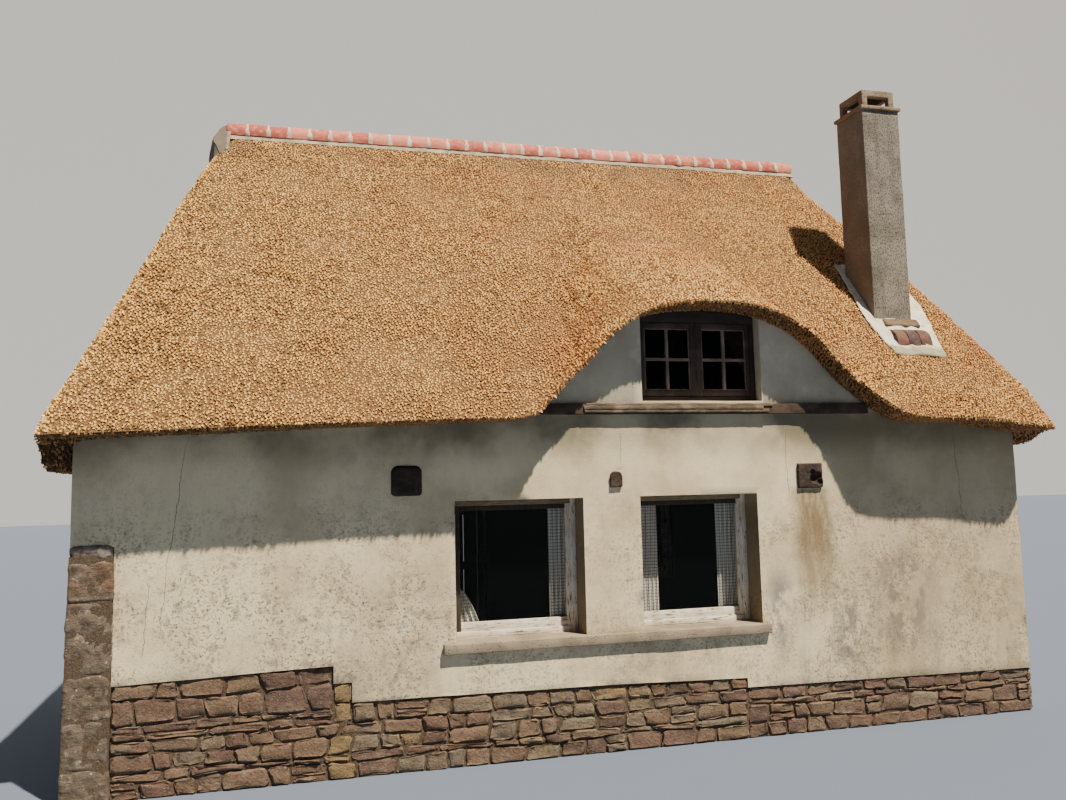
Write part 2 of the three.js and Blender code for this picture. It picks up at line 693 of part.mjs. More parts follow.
// Coats of reed that meet at the hips, under the ridge and either side of the eyebrow. Each is cut
// from the whole roof by a plan outline that runs from the ridge's ends to well past the eaves.
function addThatch() {
  const coat = underThatchTop(0).subtract(underThatch(0));
  const g = seatGap;
  const stackHole = block(stack.left - g, stack.right + g, stack.front - g, stack.back + g, -far, far);
  const middle = houseDepth / 2;
  const pastEaves = 1.5;
  const ridgeEnd = ridgeStart + ridgeHalfWidth;
  const runX = (ridgeEnd + hipOverhang) * pastEaves;
  const runY = (middle + eaveOverhang) * pastEaves;
  const [left, right] = [ridgeEnd, houseLength - ridgeEnd];
  const longSide = (y) => [[left, middle], [left - runX, y], [right + runX, y], [right, middle]];
  const outlines = {
    front: longSide(middle - runY),
    back: longSide(middle + runY),
    left: [[left, middle], [left - runX, middle + runY], [left - runX, middle - runY]],
    right: [[right, middle], [right + runX, middle - runY], [right + runX, middle + runY]],
  };
  const quarter = (side, shiftX, shiftY) => {
    const moved = outlines[side].map(([x, y]) => [x + shiftX, y + shiftY]);
    return coat.intersect(planShape(moved, roofFoot, far));
  };
  const front = quarter("front", 0, -g).subtract(stackHole);
  const strip = (x0, x1) => front.intersect(block(x0, x1, -far, far, roofFoot, far));
  part("thatch_front_left", strip(-far, eyebrowLeft - g), finish.thatch);
  part("thatch_eyebrow", strip(eyebrowLeft, eyebrowRight), finish.thatch);
  part("thatch_front_right", strip(eyebrowRight + g, far), finish.thatch);
  part("thatch_back", quarter("back", 0, g), finish.thatch);
  part("thatch_left_hip", quarter("left", -g, 0), finish.thatch);
  part("thatch_right_hip", quarter("right", g, 0), finish.thatch);
}

// The half round of the ridge tiles, from one lower edge over the top to the other
function ridgeArc(radius) {
  const droop = ridgeTile.droop * Math.PI / 180;
  const steps = 12;
  return Array.from({ length: steps + 1 }, (_, i) => {
    const angle = -droop + (i / steps) * (Math.PI + 2 * droop);
    return [houseDepth / 2 + radius * Math.cos(angle), ridgeTile.centre + radius * Math.sin(angle)];
  });
}

function addRidge() {
  const { radius, thickness } = ridgeTile;
  const inner = radius - thickness;
  const middle = houseDepth / 2;
  const { halfWidth, shoulder } = ridgeMortar;
  const bed = [
    [middle + halfWidth, ridgeSeat + seatGap], ...ridgeArc(inner - seatGap),
    [middle - halfWidth, ridgeSeat + seatGap],
  ];
  const alongRidge = (outline) => sectionShape(outline, ridgeStart, houseLength - ridgeStart);
  const tiles = alongRidge([...ridgeArc(radius), ...ridgeArc(inner).reverse()]);
  const tileSpace = sectionShape(
    [...ridgeArc(radius + seatGap), ...ridgeArc(inner - seatGap).reverse()],
    ridgeStart - seatGap, houseLength,
  );
  const shoulders = alongRidge([
    [middle + halfWidth, ridgeSeat + seatGap], [middle + inner, shoulder],
    [middle - inner, shoulder], [middle - halfWidth, ridgeSeat + seatGap],
  ]);
  const fromMiddle = (outline) => outline.map(([y, z]) => [middle + y, z]);
  const turnedDown = wallShape(endMortar.profile, 0, houseDepth)
    .intersect(sectionShape(fromMiddle(endMortar.face), 0, houseLength / 2))
    .intersect(planShape(endMortar.plan.map(([x, y]) => [x, middle + y]), 0, far))
    .subtract(underThatchTop(seatGap)).subtract(tileSpace);
  const mortar = alongRidge(bed).add(shoulders).add(turnedDown);
  part("ridge_mortar", mortar.subtract(tiles), finish.mortar);
  part("ridge_tiles", tiles, finish.clay);
}

// Rafters seated under the thatch, joined by a ridge beam
function addRoofFrame() {
  const middle = houseDepth / 2;
  const rise = (innerRidge - backEave) / (middle - innerRidgeHalfWidth - innerEave.y0);
  const top = (y) => innerRidge - (middle - innerRidgeHalfWidth - y) * rise;
  const upright = rafter.depth * Math.hypot(1, rise);
  const bar = (x) => sectionShape([
    [0, top(0) - upright], [middle, top(middle) - upright],
    [middle, top(middle) + upright], [0, top(0) + upright],
  ], x - rafter.width / 2, x + rafter.width / 2);
  const mirrored = (shape) => shape.mirror([0, 1, 0]).translate([0, houseDepth, 0]);
  const beamTop = innerRidge - ridgeBeam.drop;
  let frame = block(
    innerRidgeStart - ridgeBeam.past, houseLength - innerRidgeStart + ridgeBeam.past,
    middle - ridgeBeam.halfWidth, middle + ridgeBeam.halfWidth, beamTop - ridgeBeam.depth, beamTop,
  );
  for (const x of frontRafters) frame = frame.add(bar(x));
  for (const x of backRafters) frame = frame.add(mirrored(bar(x)));
  frame = frame.intersect(shelter);
  const g = seatGap;
  const { left, right } = dormerBeam;
  const overWall = (x0, x1, z1) => block(x0, x1, -far, wallThickness + g, -far, z1 + g);
  const clear = [
    block(-far, far, -far, far, -far, frontWallTop + g),
    overWall(left, right, dormerWallFoot),
    overWall(wallShoulder.left - g, left, dormerBeam.top),
    overWall(right, wallShoulder.right + g, dormerBeam.top),
    block(eyebrowLeft, eyebrowRight, -far, dormerWallThickness + g, -far, far),
  ];
  for (const space of clear) frame = frame.subtract(space);
  part("roof_frame", frame, finish.roofTimber);
}

function addChimney() {
  const g = seatGap;
  const s = stack;
  const flue = block(s.left + s.wall, s.right - s.wall, s.front + s.wall, s.back - s.wall, s.flueFoot, far);
  const shaft = block(s.left, s.right, s.front, s.back, floorTop + g, s.top);
  part("chimney_stack", shaft.subtract(flue), finish.concrete);
  const o = collar.overhang;
  const slab = block(s.left - o, s.right + o, s.front - o, s.back + o, s.top + g, collar.top);
  part("chimney_collar", slab.subtract(flue), finish.concrete);
  const x0 = s.left + cap.inset;
  const x1 = s.right - cap.inset;
  const y0 = s.front + cap.inset;
  const y1 = s.back - cap.inset;
  let top = block(x0, x1, y0, y1, cap.slabBottom, cap.slabTop);
  for (const x of [x0, x1 - cap.leg]) {
    for (const y of [y0, y1 - cap.leg]) {
      top = top.add(block(x, x + cap.leg, y, y + cap.leg, collar.top + g, cap.slabBottom + 10));
    }
  }
  part("chimney_cap", top, finish.concrete);
  const shaftHole = block(s.left - g, s.right + g, s.front - g, s.back + g, -far, far);
  const flashing = planShape(flashingOutline, 0, far)
    .intersect(underThatchTop(flashingThickness)).subtract(underThatchTop(thatchGap)).subtract(shaftHole);
  part("chimney_flashing", flashing, finish.mortar);
  const tiles = block(apron.left, apron.right, apron.front, apron.back, 0, far)
    .intersect(underThatchTop(flashingThickness + apron.thickness))
    .subtract(underThatchTop(flashingThickness + thatchGap));
  part("chimney_apron_tiles", tiles, finish.clay);
}

addFrontWall();
addFrontBase();
addQuoin();
addBackWall();
addSideWalls();
addFloors();
addWindow("left_window", leftWindow, windowSetBack, 1);
addWindow("right_window", rightWindow, windowSetBack, 1);
addWindow("back_window", backWindow, houseDepth - windowSetBack, -1);
addFrontSill();
addCurtains();
addDormer();
addBackDoor();
addThatch();
addRidge();
addRoofFrame();
addChimney();

const cottage = new THREE.Group();
for (const { name, shape, material } of parts) {
  const mesh = new THREE.Mesh(geometryOf(shape), new THREE.MeshStandardMaterial(material));
  mesh.name = name;
  mesh.position.set(-houseLength / 2, -houseDepth / 2, 0);
  cottage.add(mesh);
}

export default cottage;
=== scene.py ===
"""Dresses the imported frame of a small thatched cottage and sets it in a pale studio.

Sizes are in metres. A place on the house is written as house(x, y, z) in millimetres from
the left front corner of the walls: x along the front, y to the back, z up from the ground.
"""
import logging
import math
import random
from abc import ABC, abstractmethod
from contextlib import contextmanager
from dataclasses import dataclass, replace
from enum import Enum
from typing import Any, Callable, Iterator, Sequence

import bmesh
import bpy
import numpy as np
from mathutils import Matrix, Vector
from mathutils.bvhtree import BVHTree


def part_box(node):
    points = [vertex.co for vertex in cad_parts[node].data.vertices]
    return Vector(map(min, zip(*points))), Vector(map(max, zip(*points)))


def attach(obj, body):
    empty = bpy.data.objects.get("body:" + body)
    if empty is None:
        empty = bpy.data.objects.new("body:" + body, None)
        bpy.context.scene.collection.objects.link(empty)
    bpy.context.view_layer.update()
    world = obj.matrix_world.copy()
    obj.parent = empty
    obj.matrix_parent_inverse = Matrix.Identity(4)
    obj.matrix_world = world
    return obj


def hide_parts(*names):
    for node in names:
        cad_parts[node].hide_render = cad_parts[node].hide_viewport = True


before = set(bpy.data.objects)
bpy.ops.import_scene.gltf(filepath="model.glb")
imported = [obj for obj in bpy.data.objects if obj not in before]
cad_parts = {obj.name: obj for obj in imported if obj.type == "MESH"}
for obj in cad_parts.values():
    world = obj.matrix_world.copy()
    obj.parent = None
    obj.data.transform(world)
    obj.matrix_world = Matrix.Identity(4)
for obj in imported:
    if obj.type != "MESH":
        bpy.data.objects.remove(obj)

LOG = logging.getLogger("cottage")
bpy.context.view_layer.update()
LEFT_FRONT_CORNER = Vector((-4.0, -2.162, 0.0))
HALF_LENGTH = 4.0
HALF_DEPTH = 2.162
STICK_GAP = 0.0004

Socket = bpy.types.NodeSocket
Piece = bpy.types.Object
Material = bpy.types.Material
Tree = bpy.types.NodeTree
Node = bpy.types.Node
Triple = tuple[float, float, float]
Stops = tuple[tuple[float, str], ...]


def house(x: float, y: float, z: float) -> Vector:
    """Return the point at house millimetres x, y, z in the frame's metres."""
    return LEFT_FRONT_CORNER + Vector((x, y, z)) / 1000


class Grain(Enum):
    """The way that wood fibres run, as the stretch of a pattern along each axis."""

    ALONG_X = (1.0, 14.0, 14.0)
    ALONG_Y = (14.0, 1.0, 14.0)
    ALONG_Z = (14.0, 14.0, 1.0)


def take(piece: Piece) -> None:
    """Select one piece alone and make it the active one."""
    bpy.ops.object.select_all(action="DESELECT")
    piece.select_set(True)
    bpy.context.view_layer.objects.active = piece


@contextmanager
def editing(piece: Piece) -> Iterator[Piece]:
    """Hold a piece in edit mode, with nothing selected at the start."""
    take(piece)
    bpy.ops.object.mode_set(mode="EDIT")
    bpy.ops.mesh.select_mode(type="FACE")
    bpy.ops.mesh.select_all(action="DESELECT")
    yield piece
    bpy.ops.object.mode_set(mode="OBJECT")


def pick_faces(piece: Piece, test: Callable[[Vector, Vector], bool]) -> int:
    """Select the faces of the edited piece that pass a test.

    Args:
        piece: The piece in edit mode.
        test: Says from a face's centre and normal whether it is wanted.

    Returns:
        How many faces are selected.
    """
    mesh = bmesh.from_edit_mesh(piece.data)
    count = 0
    for face in mesh.faces:
        wanted = test(face.calc_center_median(), face.normal)
        face.select_set(wanted)
        count += wanted
    bmesh.update_edit_mesh(piece.data)
    return count


def refine(piece: Piece, kind: str, **settings: Any) -> Piece:
    """Add a modifier with its settings and apply it.

    Args:
        piece: The piece to change.
        kind: Blender's name of the modifier.
        settings: The modifier's properties.

    Returns:
        The same piece.
    """
    take(piece)
    modifier = piece.modifiers.new(kind.lower(), kind)
    for key, value in settings.items():
        setattr(modifier, key, value)
    bpy.ops.object.modifier_apply(modifier=modifier.name)
    return piece


def soften(piece: Piece, width: float, segments: int = 2, angle: float = 35.0) -> Piece:
    """Round the sharp edges of a piece by a width in metres."""
    return refine(
        piece, "BEVEL", width=width, segments=segments, limit_method="ANGLE",
        angle_limit=math.radians(angle), use_clamp_overlap=True,
    )


def roughen(
    piece: Piece, lump: float, height: float, depth: int = 2, way: str = "NORMAL",
    group: str = "",
) -> Piece:
    """Push a piece's surface in and out by cloud noise.

    Args:
        piece: The piece to change, with faces smaller than a lump.
        lump: The size of a lump in metres.
        height: The whole height of the relief in metres.
        depth: How many finer layers the noise has.
        way: X, Y or Z, or NORMAL for the surface's own direction.
        group: The vertex group that it keeps to, or all.

    Returns:
        The same piece.
    """
    clouds = bpy.data.textures.new(f"{piece.name} relief", "CLOUDS")
    clouds.noise_scale = lump
    clouds.noise_depth = depth
    return refine(
        piece, "DISPLACE", texture=clouds, strength=height, mid_level=0.5,
        texture_coords="LOCAL", direction=way, vertex_group=group,
    )


def smooth(piece: Piece, angle: float = 40.0) -> Piece:
    """Shade a piece smooth across edges flatter than an angle in degrees."""
    take(piece)
    bpy.ops.object.shade_smooth_by_angle(angle=math.radians(angle))
    return piece


def named(piece: Piece, name: str) -> Piece:
    """Name a piece and its mesh."""
    piece.name = name
    piece.data.name = name
    return piece


def placed(name: str, data: Any) -> Piece:
    """Put new data into the scene as an object."""
    piece = bpy.data.objects.new(name, data)
    bpy.context.scene.collection.objects.link(piece)
    return piece


def primitive(name: str, make: Callable[..., Any], **settings: Any) -> Piece:
    """Add one of Blender's primitives, with its place in its mesh.

    Args:
        name: The piece's name.
        make: The operator that adds it.
        settings: The operator's properties.

    Returns:
        The piece.
    """
    bpy.ops.object.select_all(action="DESELECT")
    make(**settings)
    bpy.ops.object.transform_apply(location=True, rotation=True, scale=True)
    return named(bpy.context.object, name)


def box(name: str, low: Vector, high: Vector) -> Piece:
    """Add a plain box to start a piece from.

    Args:
        name: The piece's name.
        low: Its lowest corner.
        high: Its highest corner.

    Returns:
        The box, with its place in its mesh.
    """
    bpy.ops.object.select_all(action="DESELECT")
    bpy.ops.mesh.primitive_cube_add(size=1.0, location=(low + high) / 2)
    piece = named(bpy.context.object, name)
    piece.scale = high - low
    bpy.ops.object.transform_apply(location=True, rotation=True, scale=True)
    return piece


def joined(name: str, parts: Sequence[Piece]) -> Piece:
    """Join several parts into one piece with a name."""
    bpy.ops.object.select_all(action="DESELECT")
    for part in parts:
        part.select_set(True)
    bpy.context.view_layer.objects.active = parts[0]
    if len(parts) > 1:
        bpy.ops.object.join()
    return named(bpy.context.object, name)


def cad_copy(node: str, name: str, whole_faces: bool = True) -> Piece:
    """Copy a CAD node's loose triangles as one merged solid.

    Args:
        node: The node's name.
        name: The new piece's name.
        whole_faces: Whether flat faces are made whole again, as flat parts need.

    Returns:
        The copy, free to be shaped.
    """
    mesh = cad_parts[node].data.copy()
    mesh.materials.clear()
    piece = named(placed(name, mesh), name)
    with editing(piece):
        bpy.ops.mesh.select_all(action="SELECT")
        bpy.ops.mesh.remove_doubles(threshold=0.00005)
        if whole_faces:
            bpy.ops.mesh.dissolve_limited(angle_limit=math.radians(0.6))
    return piece


def cut_across(axis: int, place: float, **settings: Any) -> None:
    """Cut the whole edited piece along the plane across an axis at a place."""
    normal = Vector((0.0, 0.0, 0.0))
    normal[axis] = 1.0
    bpy.ops.mesh.select_all(action="SELECT")
    bpy.ops.mesh.bisect(plane_co=normal * place, plane_no=normal, **settings)


def scored(piece: Piece, axis: int, step: float) -> Piece:
    """Cut a piece's faces along evenly spaced planes, so that relief can bend them.

    Args:
        piece: The piece to cut.
        axis: 0, 1 or 2 for planes across X, Y or Z.
        step: The spacing in metres.

    Returns:
        The same piece.
    """
    places = [corner[axis] for corner in piece.bound_box]
    with editing(piece):
        place = min(places) + step
        while place < max(places) - step / 2:
            cut_across(axis, place)
            place += step
    return piece


def copies(name: str, template: Piece, corners: np.ndarray, tones: Sequence[float]) -> Piece:
    """Join copies of a template whose corners have been worked out.

    Args:
        name: The new piece's name.
        template: The shape that gives the faces, which is deleted.
        corners: The corners of every copy, as copies by corners by three.
        tones: A number from 0 to 1 for each copy, kept as the attribute "tone".

    Returns:
        The joined piece.
    """
    faces = [tuple(p.vertices) for p in template.data.polygons]
    number, count, _ = corners.shape
    mesh = bpy.data.meshes.new(name)
    mesh.from_pydata(
        corners.reshape(-1, 3).tolist(), [],
        [tuple(v + count * n for v in face) for n in range(number) for face in faces],
    )
    tone = mesh.attributes.new("tone", "FLOAT", "POINT")
    tone.data.foreach_set("value", np.repeat(np.array(tones, np.float32), count))
    bpy.data.objects.remove(template)
    return placed(name, mesh)


def repeated(
    name: str, template: Piece, places: Sequence[Matrix], tones: Sequence[float],
    wobble: float = 0.0,
) -> Piece:
    """Join one copy of a template at each place.

    Args:
        name: The new piece's name.
        template: The shape to repeat, which is deleted.
        places: Where each copy goes, and how large it is.
        tones: A number from 0 to 1 for each copy.
        wobble: How far a corner may stray, in metres.

    Returns:
        The joined piece.
    """
    corners = np.array([v.co for v in template.data.vertices], float)
    matrices = np.array([[list(row) for row in place] for place in places])
    moved = np.einsum("nij,kj->nki", matrices[:, :3, :3], corners)
    moved += matrices[:, None, :3, 3]
    moved += np.random.default_rng(len(places)).uniform(-wobble, wobble, moved.shape)
    return copies(name, template, moved, tones)


def saddle(
    name: str, length: float, radius: float, thickness: float, half_angle: float,
    steps: int = 14,
) -> Piece:
    """Model a curved tile by spinning its section about the X axis.

    Args:
        name: The piece's name.
        length: Its length along X in metres.
        radius: Its outer radius.
        thickness: How thick it is.
        half_angle: How far it reaches down to either side of its top, in degrees.
        steps: How many facets the curve has.

    Returns:
        The tile, with its axis through the origin.
    """
    piece = primitive(name, bpy.ops.mesh.primitive_plane_add, size=1.0)
    with editing(piece):
        bpy.ops.mesh.select_all(action="SELECT")
        bpy.ops.transform.resize(value=(length, thickness, 1.0))
        bpy.ops.transform.translate(value=(0.0, radius - thickness / 2, 0.0))
        bpy.ops.transform.rotate(
            value=math.radians(half_angle - 90), orient_axis="X", center_override=(0, 0, 0))
        bpy.ops.mesh.select_all(action="SELECT")
        bpy.ops.mesh.spin(
            steps=steps, angle=-math.radians(2 * half_angle), center=(0, 0, 0), axis=(1, 0, 0))
        bpy.ops.mesh.select_all(action="SELECT")
        bpy.ops.mesh.normals_make_consistent(inside=False)
    return piece


def settle(piece: Piece, slot: str, finish: "Finish | None", *nodes: str) -> Piece:
    """Fix a new piece to the house and give it its finish.

    Args:
        piece: The finished piece.
        slot: A material slot's name, which is not used.
        finish: Its finish, or None where its parts have theirs.
        nodes: The CAD nodes that it stands for.

    Returns:
        The same piece.
    """
    if finish:
        piece.data.materials.clear()
        piece.data.materials.append(finish.material())
    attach(piece, "root")
    if nodes:
        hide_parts(*nodes)
    LOG.info("%s: %d faces, stands for %s", piece.name, len(piece.data.polygons),
             ", ".join(nodes) or "nothing in the CAD model")
    return piece


def dress_node(node: str, finish: "Finish") -> None:
    """Give a CAD node that stays in view its finish."""
    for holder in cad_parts[node].material_slots:
        holder.material = finish.material()
    LOG.info("%s: CAD node, %s", node, finish.title)


def linear(colour: str) -> tuple[float, float, float, float]:
    """Turn an sRGB hex colour into linear light."""
    parts = [int(colour[n:n + 2], 16) / 255 for n in (1, 3, 5)]
    light = [p / 12.92 if p <= 0.04045 else ((p + 0.055) / 1.055) ** 2.4 for p in parts]
    return (*light, 1.0)


class Wiring:
    """Adds nodes to one node tree."""

    def __init__(self, tree: Tree) -> None:
        """Take up a node tree."""
        self.tree = tree

    def feed(self, node: Node, values: dict[Any, Any]) -> None:
        """Link or set a node's inputs by name or number, and leave those that get None."""
        for key, value in values.items():
            if isinstance(value, Socket):
                self.tree.links.new(value, node.inputs[key])
            elif value is not None:
                node.inputs[key].default_value = value

    def add(
        self, kind: str, *values: Any, inputs: dict[Any, Any] | None = None, **settings: Any
    ) -> Any:
        """Add a node with its settings and links.

        Args:
            kind: Blender's name of the node.
            values: A socket to link or a value for each input in turn, or None to skip it.
            inputs: The same for inputs that are told by name or number.
            settings: The node's properties, or stops for a colour ramp.

        Returns:
            The node's outputs.
        """
        node = self.tree.nodes.new(kind)
        stops = settings.pop("stops", ())
        for key, value in settings.items():
            setattr(node, key, value)
        for number, (place, colour) in enumerate(stops):
            ramp = node.color_ramp.elements
            element = ramp[number] if number < 2 else ramp.new(place)
            element.position = place
            element.color = linear(colour)
        self.feed(node, dict(enumerate(values)) | (inputs or {}))
        return node.outputs


class Brush(Wiring):
    """Paints one material: lays tones over one another by patterns of a real size."""

    def __init__(self, material: Material) -> None:
        """Start on a new material, on Object coordinates."""
        material.use_nodes = True
        super().__init__(material.node_tree)
        self.shader = self.tree.nodes["Principled BSDF"]
        self.place = self.add("ShaderNodeTexCoord")["Object"]
        self.colour: Any = None

    def noise(
        self, size: float, detail: float = 4.0, stretch: Triple = (1.0, 1.0, 1.0),
        rough: float = 0.55,
    ) -> Socket:
        """Make clouds with lumps of a real size.

        Args:
            size: A lump's size in metres.
            detail: How many finer layers it has.
            stretch: How much finer it is along each axis.
            rough: How strong the finer layers are.

        Returns:
            The clouds, from 0 to 1.
        """
        turned = self.add("ShaderNodeMapping", inputs={"Vector": self.place, "Scale": stretch})
        return self.add("ShaderNodeTexNoise", turned[0], None, 1 / size, detail, rough)[0]

    def dots(self, scale: float, least: float, most: float) -> tuple[Socket, Socket]:
        """Scatter dots and choose some of them.

        Args:
            scale: How many dots there are to a metre.
            least: The share of the dots that is left out.
            most: The share from which on they are whole.

        Returns:
            The distance from a dot's middle, and the share by which a dot is chosen.
        """
        cells = self.add("ShaderNodeTexVoronoi", self.place, None, scale)
        chance = self.add("ShaderNodeSeparateXYZ", cells["Color"])[0]
        return cells["Distance"], self.share((chance, least, most))

    def share(self, *bands: Any) -> Socket:
        """Multiply the shares of several bands.

        Args:
            bands: Each is a socket, a number, or a tuple of a value, the two numbers that it
                passes between smoothly, and its share at either one if not 0 and 1.

        Returns:
            The product.
        """
        total: Any = None
        for band in bands:
            if isinstance(band, tuple):
                band = self.add("ShaderNodeMapRange", *band, interpolation_type="SMOOTHSTEP")[0]
            total = band if total is None else self.add(
                "ShaderNodeMath", total, band, operation="MULTIPLY")[0]
        return total

    def near(self, value: Socket, middle: float, reach: float, fade: float = 0.02) -> Socket:
        """Return 1 where a value is nearer to a middle than a reach, and 0 past it."""
        off = self.add("ShaderNodeMath", value, middle, operation="SUBTRACT")[0]
        away = self.add("ShaderNodeMath", off, operation="ABSOLUTE")[0]
        return self.share((away, reach, reach - fade))

    def lay(self, tone: str, *bands: Any, under: str | None = None) -> None:
        """Lay a tone by the share of some bands over the colour so far or another tone."""
        colour = linear(under) if under else self.colour
        self.colour = self.add(
            "ShaderNodeMix", data_type="RGBA",
            inputs={0: self.share(*bands), 6: colour, 7: linear(tone)})[2]

    def close(
        self, rough: Socket | float, height: Socket | None = None, depth: float = 0.0,
        strength: float = 0.8,
    ) -> None:
        """Give the shader its colour and roughness, and a bump of a depth in metres."""
        self.feed(self.shader, {"Base Color": self.colour, "Roughness": rough})
        if height is not None:
            bump = self.add("ShaderNodeBump",
                            inputs={"Height": height, "Distance": depth, "Strength": strength})
            self.feed(self.shader, {"Normal": bump[0]})


@dataclass(frozen=True)
class Finish(ABC):
    """A surface finish, which paints its own material."""

    title: str

    @abstractmethod
    def paint(self, brush: Brush) -> None:
        """Lay the finish's patterns with a brush on its material."""

    def material(self) -> Material:
        """Return the finish's material, made the first time that it is asked for."""
        found = bpy.data.materials.get(self.title)
        if not found:
            found = bpy.data.materials.new(self.title)
            self.paint(Brush(found))
        return found


@dataclass(frozen=True)
class LimeRender(Finish):
    """Trowelled lime render: cream, streaked grey by rain, dotted with lichen, cracked."""

    cream: str = "#e6d8b7"
    tan: str = "#bcad8e"
    chalk: str = "#e3dac2"
    grey: str = "#857f70"
    speck: str = "#57514a"
    rust: str = "#7a5f41"
    run: str = "#867558"
    tear: str = "#66626a"
    eave: str = "#5a5745"
    reveal: str = "#5f5142"
    painted_room_shade: str = "#211c17"
    damp_top: float = 1.4
    marks: bool = True

    def paint(self, brush: Brush) -> None:
        """Lay clouds, rain streaks, lichen dots, cracks and the stain under the beam."""
        axes = brush.add("ShaderNodeSeparateXYZ", brush.place)
        # broad patches half a metre wide keep a large wall from looking printed
        clouds = brush.noise(0.6)
        brush.lay(self.tan, (clouds, 0.36, 0.68, 0.0, 0.8), under=self.cream)
        brush.lay(self.chalk, (brush.noise(0.24, 5.0), 0.54, 0.72, 0.0, 0.6))
        # rain draws long upright streaks, stronger near the ground
        streaks = brush.noise(0.3, 5.0, (1.6, 1.6, 0.35))
        damp = brush.share((axes[2], self.damp_top, 0.35, 0.12, 0.5))
        brush.lay(self.grey, (streaks, 0.42, 0.72), damp)
        # lichen keeps to the lower wall, more to the ends than between the windows
        off = brush.add("ShaderNodeMath", axes[0], 0.2, operation="SUBTRACT")[0]
        away = brush.add("ShaderNodeMath", off, operation="ABSOLUTE")[0]
        drifts = brush.share((brush.noise(0.45), 0.38, 0.58, 0.2, 1.0),
                             (axes[2], 2.15, 1.5, 0.12, 1.0), (away, 0.9, 1.9, 0.65, 1.0))
        # it starts as smudges, crowds into blots of 2 to 3 cm and ends as dots
        for size, least, most, share, tone in (
            (0.075, 0.48, 0.66, 0.6, self.grey), (0.03, 0.54, 0.61, 0.8, self.grey),
            (0.021, 0.57, 0.63, 0.85, self.speck),
        ):
            blots = brush.share((brush.noise(size, rough=0.6), least, most, 0.0, share))
            brush.lay(tone, blots, drifts)
        distance, some = brush.dots(30.0, 0.62, 0.8)
        ragged = brush.add(
            "ShaderNodeMath", brush.noise(0.012, 3.0), 0.35, distance, operation="MULTIPLY_ADD")[0]
        spots = brush.share((ragged, 0.48, 0.3, 0.0, 0.7))
        brush.lay(self.speck, spots, some, drifts)
        # painted shade: the wall under the eave is darkened where the eave's shadow falls
        brush.lay(self.eave, (axes[2], 2.2, 2.56, 0.0, 0.8), (clouds, 0.3, 0.6, 0.5, 1.0),
                  (axes[2], 2.74, 2.66))
        if self.marks:
            self.stain(brush, axes)
            brush.lay(self.speck, self.cracks(brush, axes))
        # painted shade: the inner walls are painted near black, standing in for the unlit rooms
        # behind the panes
        brush.lay(self.painted_room_shade, brush.near(axes[0], 0.0, HALF_LENGTH - 0.36),
                  brush.near(axes[1], 0.0, HALF_DEPTH - 0.36))
        # grit of about a centimetre catches the low light
        brush.close(0.93, brush.noise(0.012, 6.0), 0.004, 0.6)

    def stain(self, brush: Brush, axes: Any) -> None:
        """Run brown down the wall below the right beam's end and paint shade on the window reveals.
        """
        front = brush.share((axes[1], -2.1, -2.16))
        bent = brush.add("ShaderNodeMath", brush.noise(0.25, 3.0, (0.4, 0.4, 1.0)), -0.16, axes[0],
                         operation="MULTIPLY_ADD")[0]
        middle = house(5870, 0, 0).x - 0.08
        runs = brush.noise(0.08, 6.0, (1.0, 1.0, 0.22), 0.65)
        # a broad run of brown water, then streaks of rust in its midst
        for reach, fade, foot, least, most, tone in (
            (0.25, 0.15, 0.8, 0.5, 0.85, self.run), (0.17, 0.11, 1.3, 0.1, 0.7, self.rust),
        ):
            brush.lay(tone, (runs, 0.34, 0.62, least, most), brush.near(bent, middle, reach, fade),
                      (axes[2], 2.08, 2.0), (axes[2], foot, foot + 0.5), front)
        # water that ran on has left purplish grey blotches on either side of it
        blots = brush.share((brush.noise(0.13, 6.0, (1.0, 1.0, 0.5), 0.68), 0.42, 0.56, 0.05, 0.8))
        for x, reach, foot, top in (
            (5530, 0.2, 0.75, 1.5), (6160, 0.26, 0.5, 1.3), (6750, 0.5, 0.7, 1.6),
        ):
            brush.lay(self.tear, brush.near(axes[0], house(x, 0, 0).x, reach, reach),
                      (axes[2], top, top - 0.35), (axes[2], foot - 0.2, foot + 0.2), blots, front)
        # the right end of the front is duller all over
        brush.lay(self.run, (axes[0], 1.7, 2.6, 0.0, 0.38), front)
        across = brush.add("ShaderNodeSeparateXYZ", brush.add("ShaderNodeNewGeometry")["Normal"])[0]
        # painted shade: reveal sides that face left, away from the light, are painted darker
        brush.lay(self.reveal, (across, -0.4, -0.8), brush.near(axes[0], 0.05, 1.5), 0.8)

    def cracks(self, brush: Brush, axes: Any) -> Socket:
        """Draw hair cracks as thin wandering lines between two heights."""
        front = brush.share((axes[1], -2.1, -2.16))
        wander = brush.add("ShaderNodeTexNoise", brush.place, None, 3.0, 6.0, 0.62)[0]
        total: Socket | None = None
        for x, lean, foot, top in (
            (450, 0.127, 1.05, 2.56), (480, 0.02, 0.9, 1.6), (7500, -0.06, 1.7, 2.56),
            (5630, 0.01, 1.9, 2.6), (4140, 0.0, 2.2, 2.6),
        ):
            # the line's place at this height, then 3 mm to either side of it
            path = brush.add("ShaderNodeMath", axes[2], lean, house(x, 0, 0).x - 0.06,
                             operation="MULTIPLY_ADD")[0]
            bent = brush.add("ShaderNodeMath", wander, 0.12, path, operation="MULTIPLY_ADD")[0]
            off = brush.add("ShaderNodeMath", axes[0], bent, operation="SUBTRACT")[0]
            away = brush.add("ShaderNodeMath", off, operation="ABSOLUTE")[0]
            mark = brush.share((away, 0.0045, 0.001, 0.0, 0.7), (axes[2], foot, foot + 0.15),
                               (axes[2], top, top - 0.15), front)
            total = mark if total is None else brush.add(
                "ShaderNodeMath", total, mark, operation="MAXIMUM")[0]
        return total


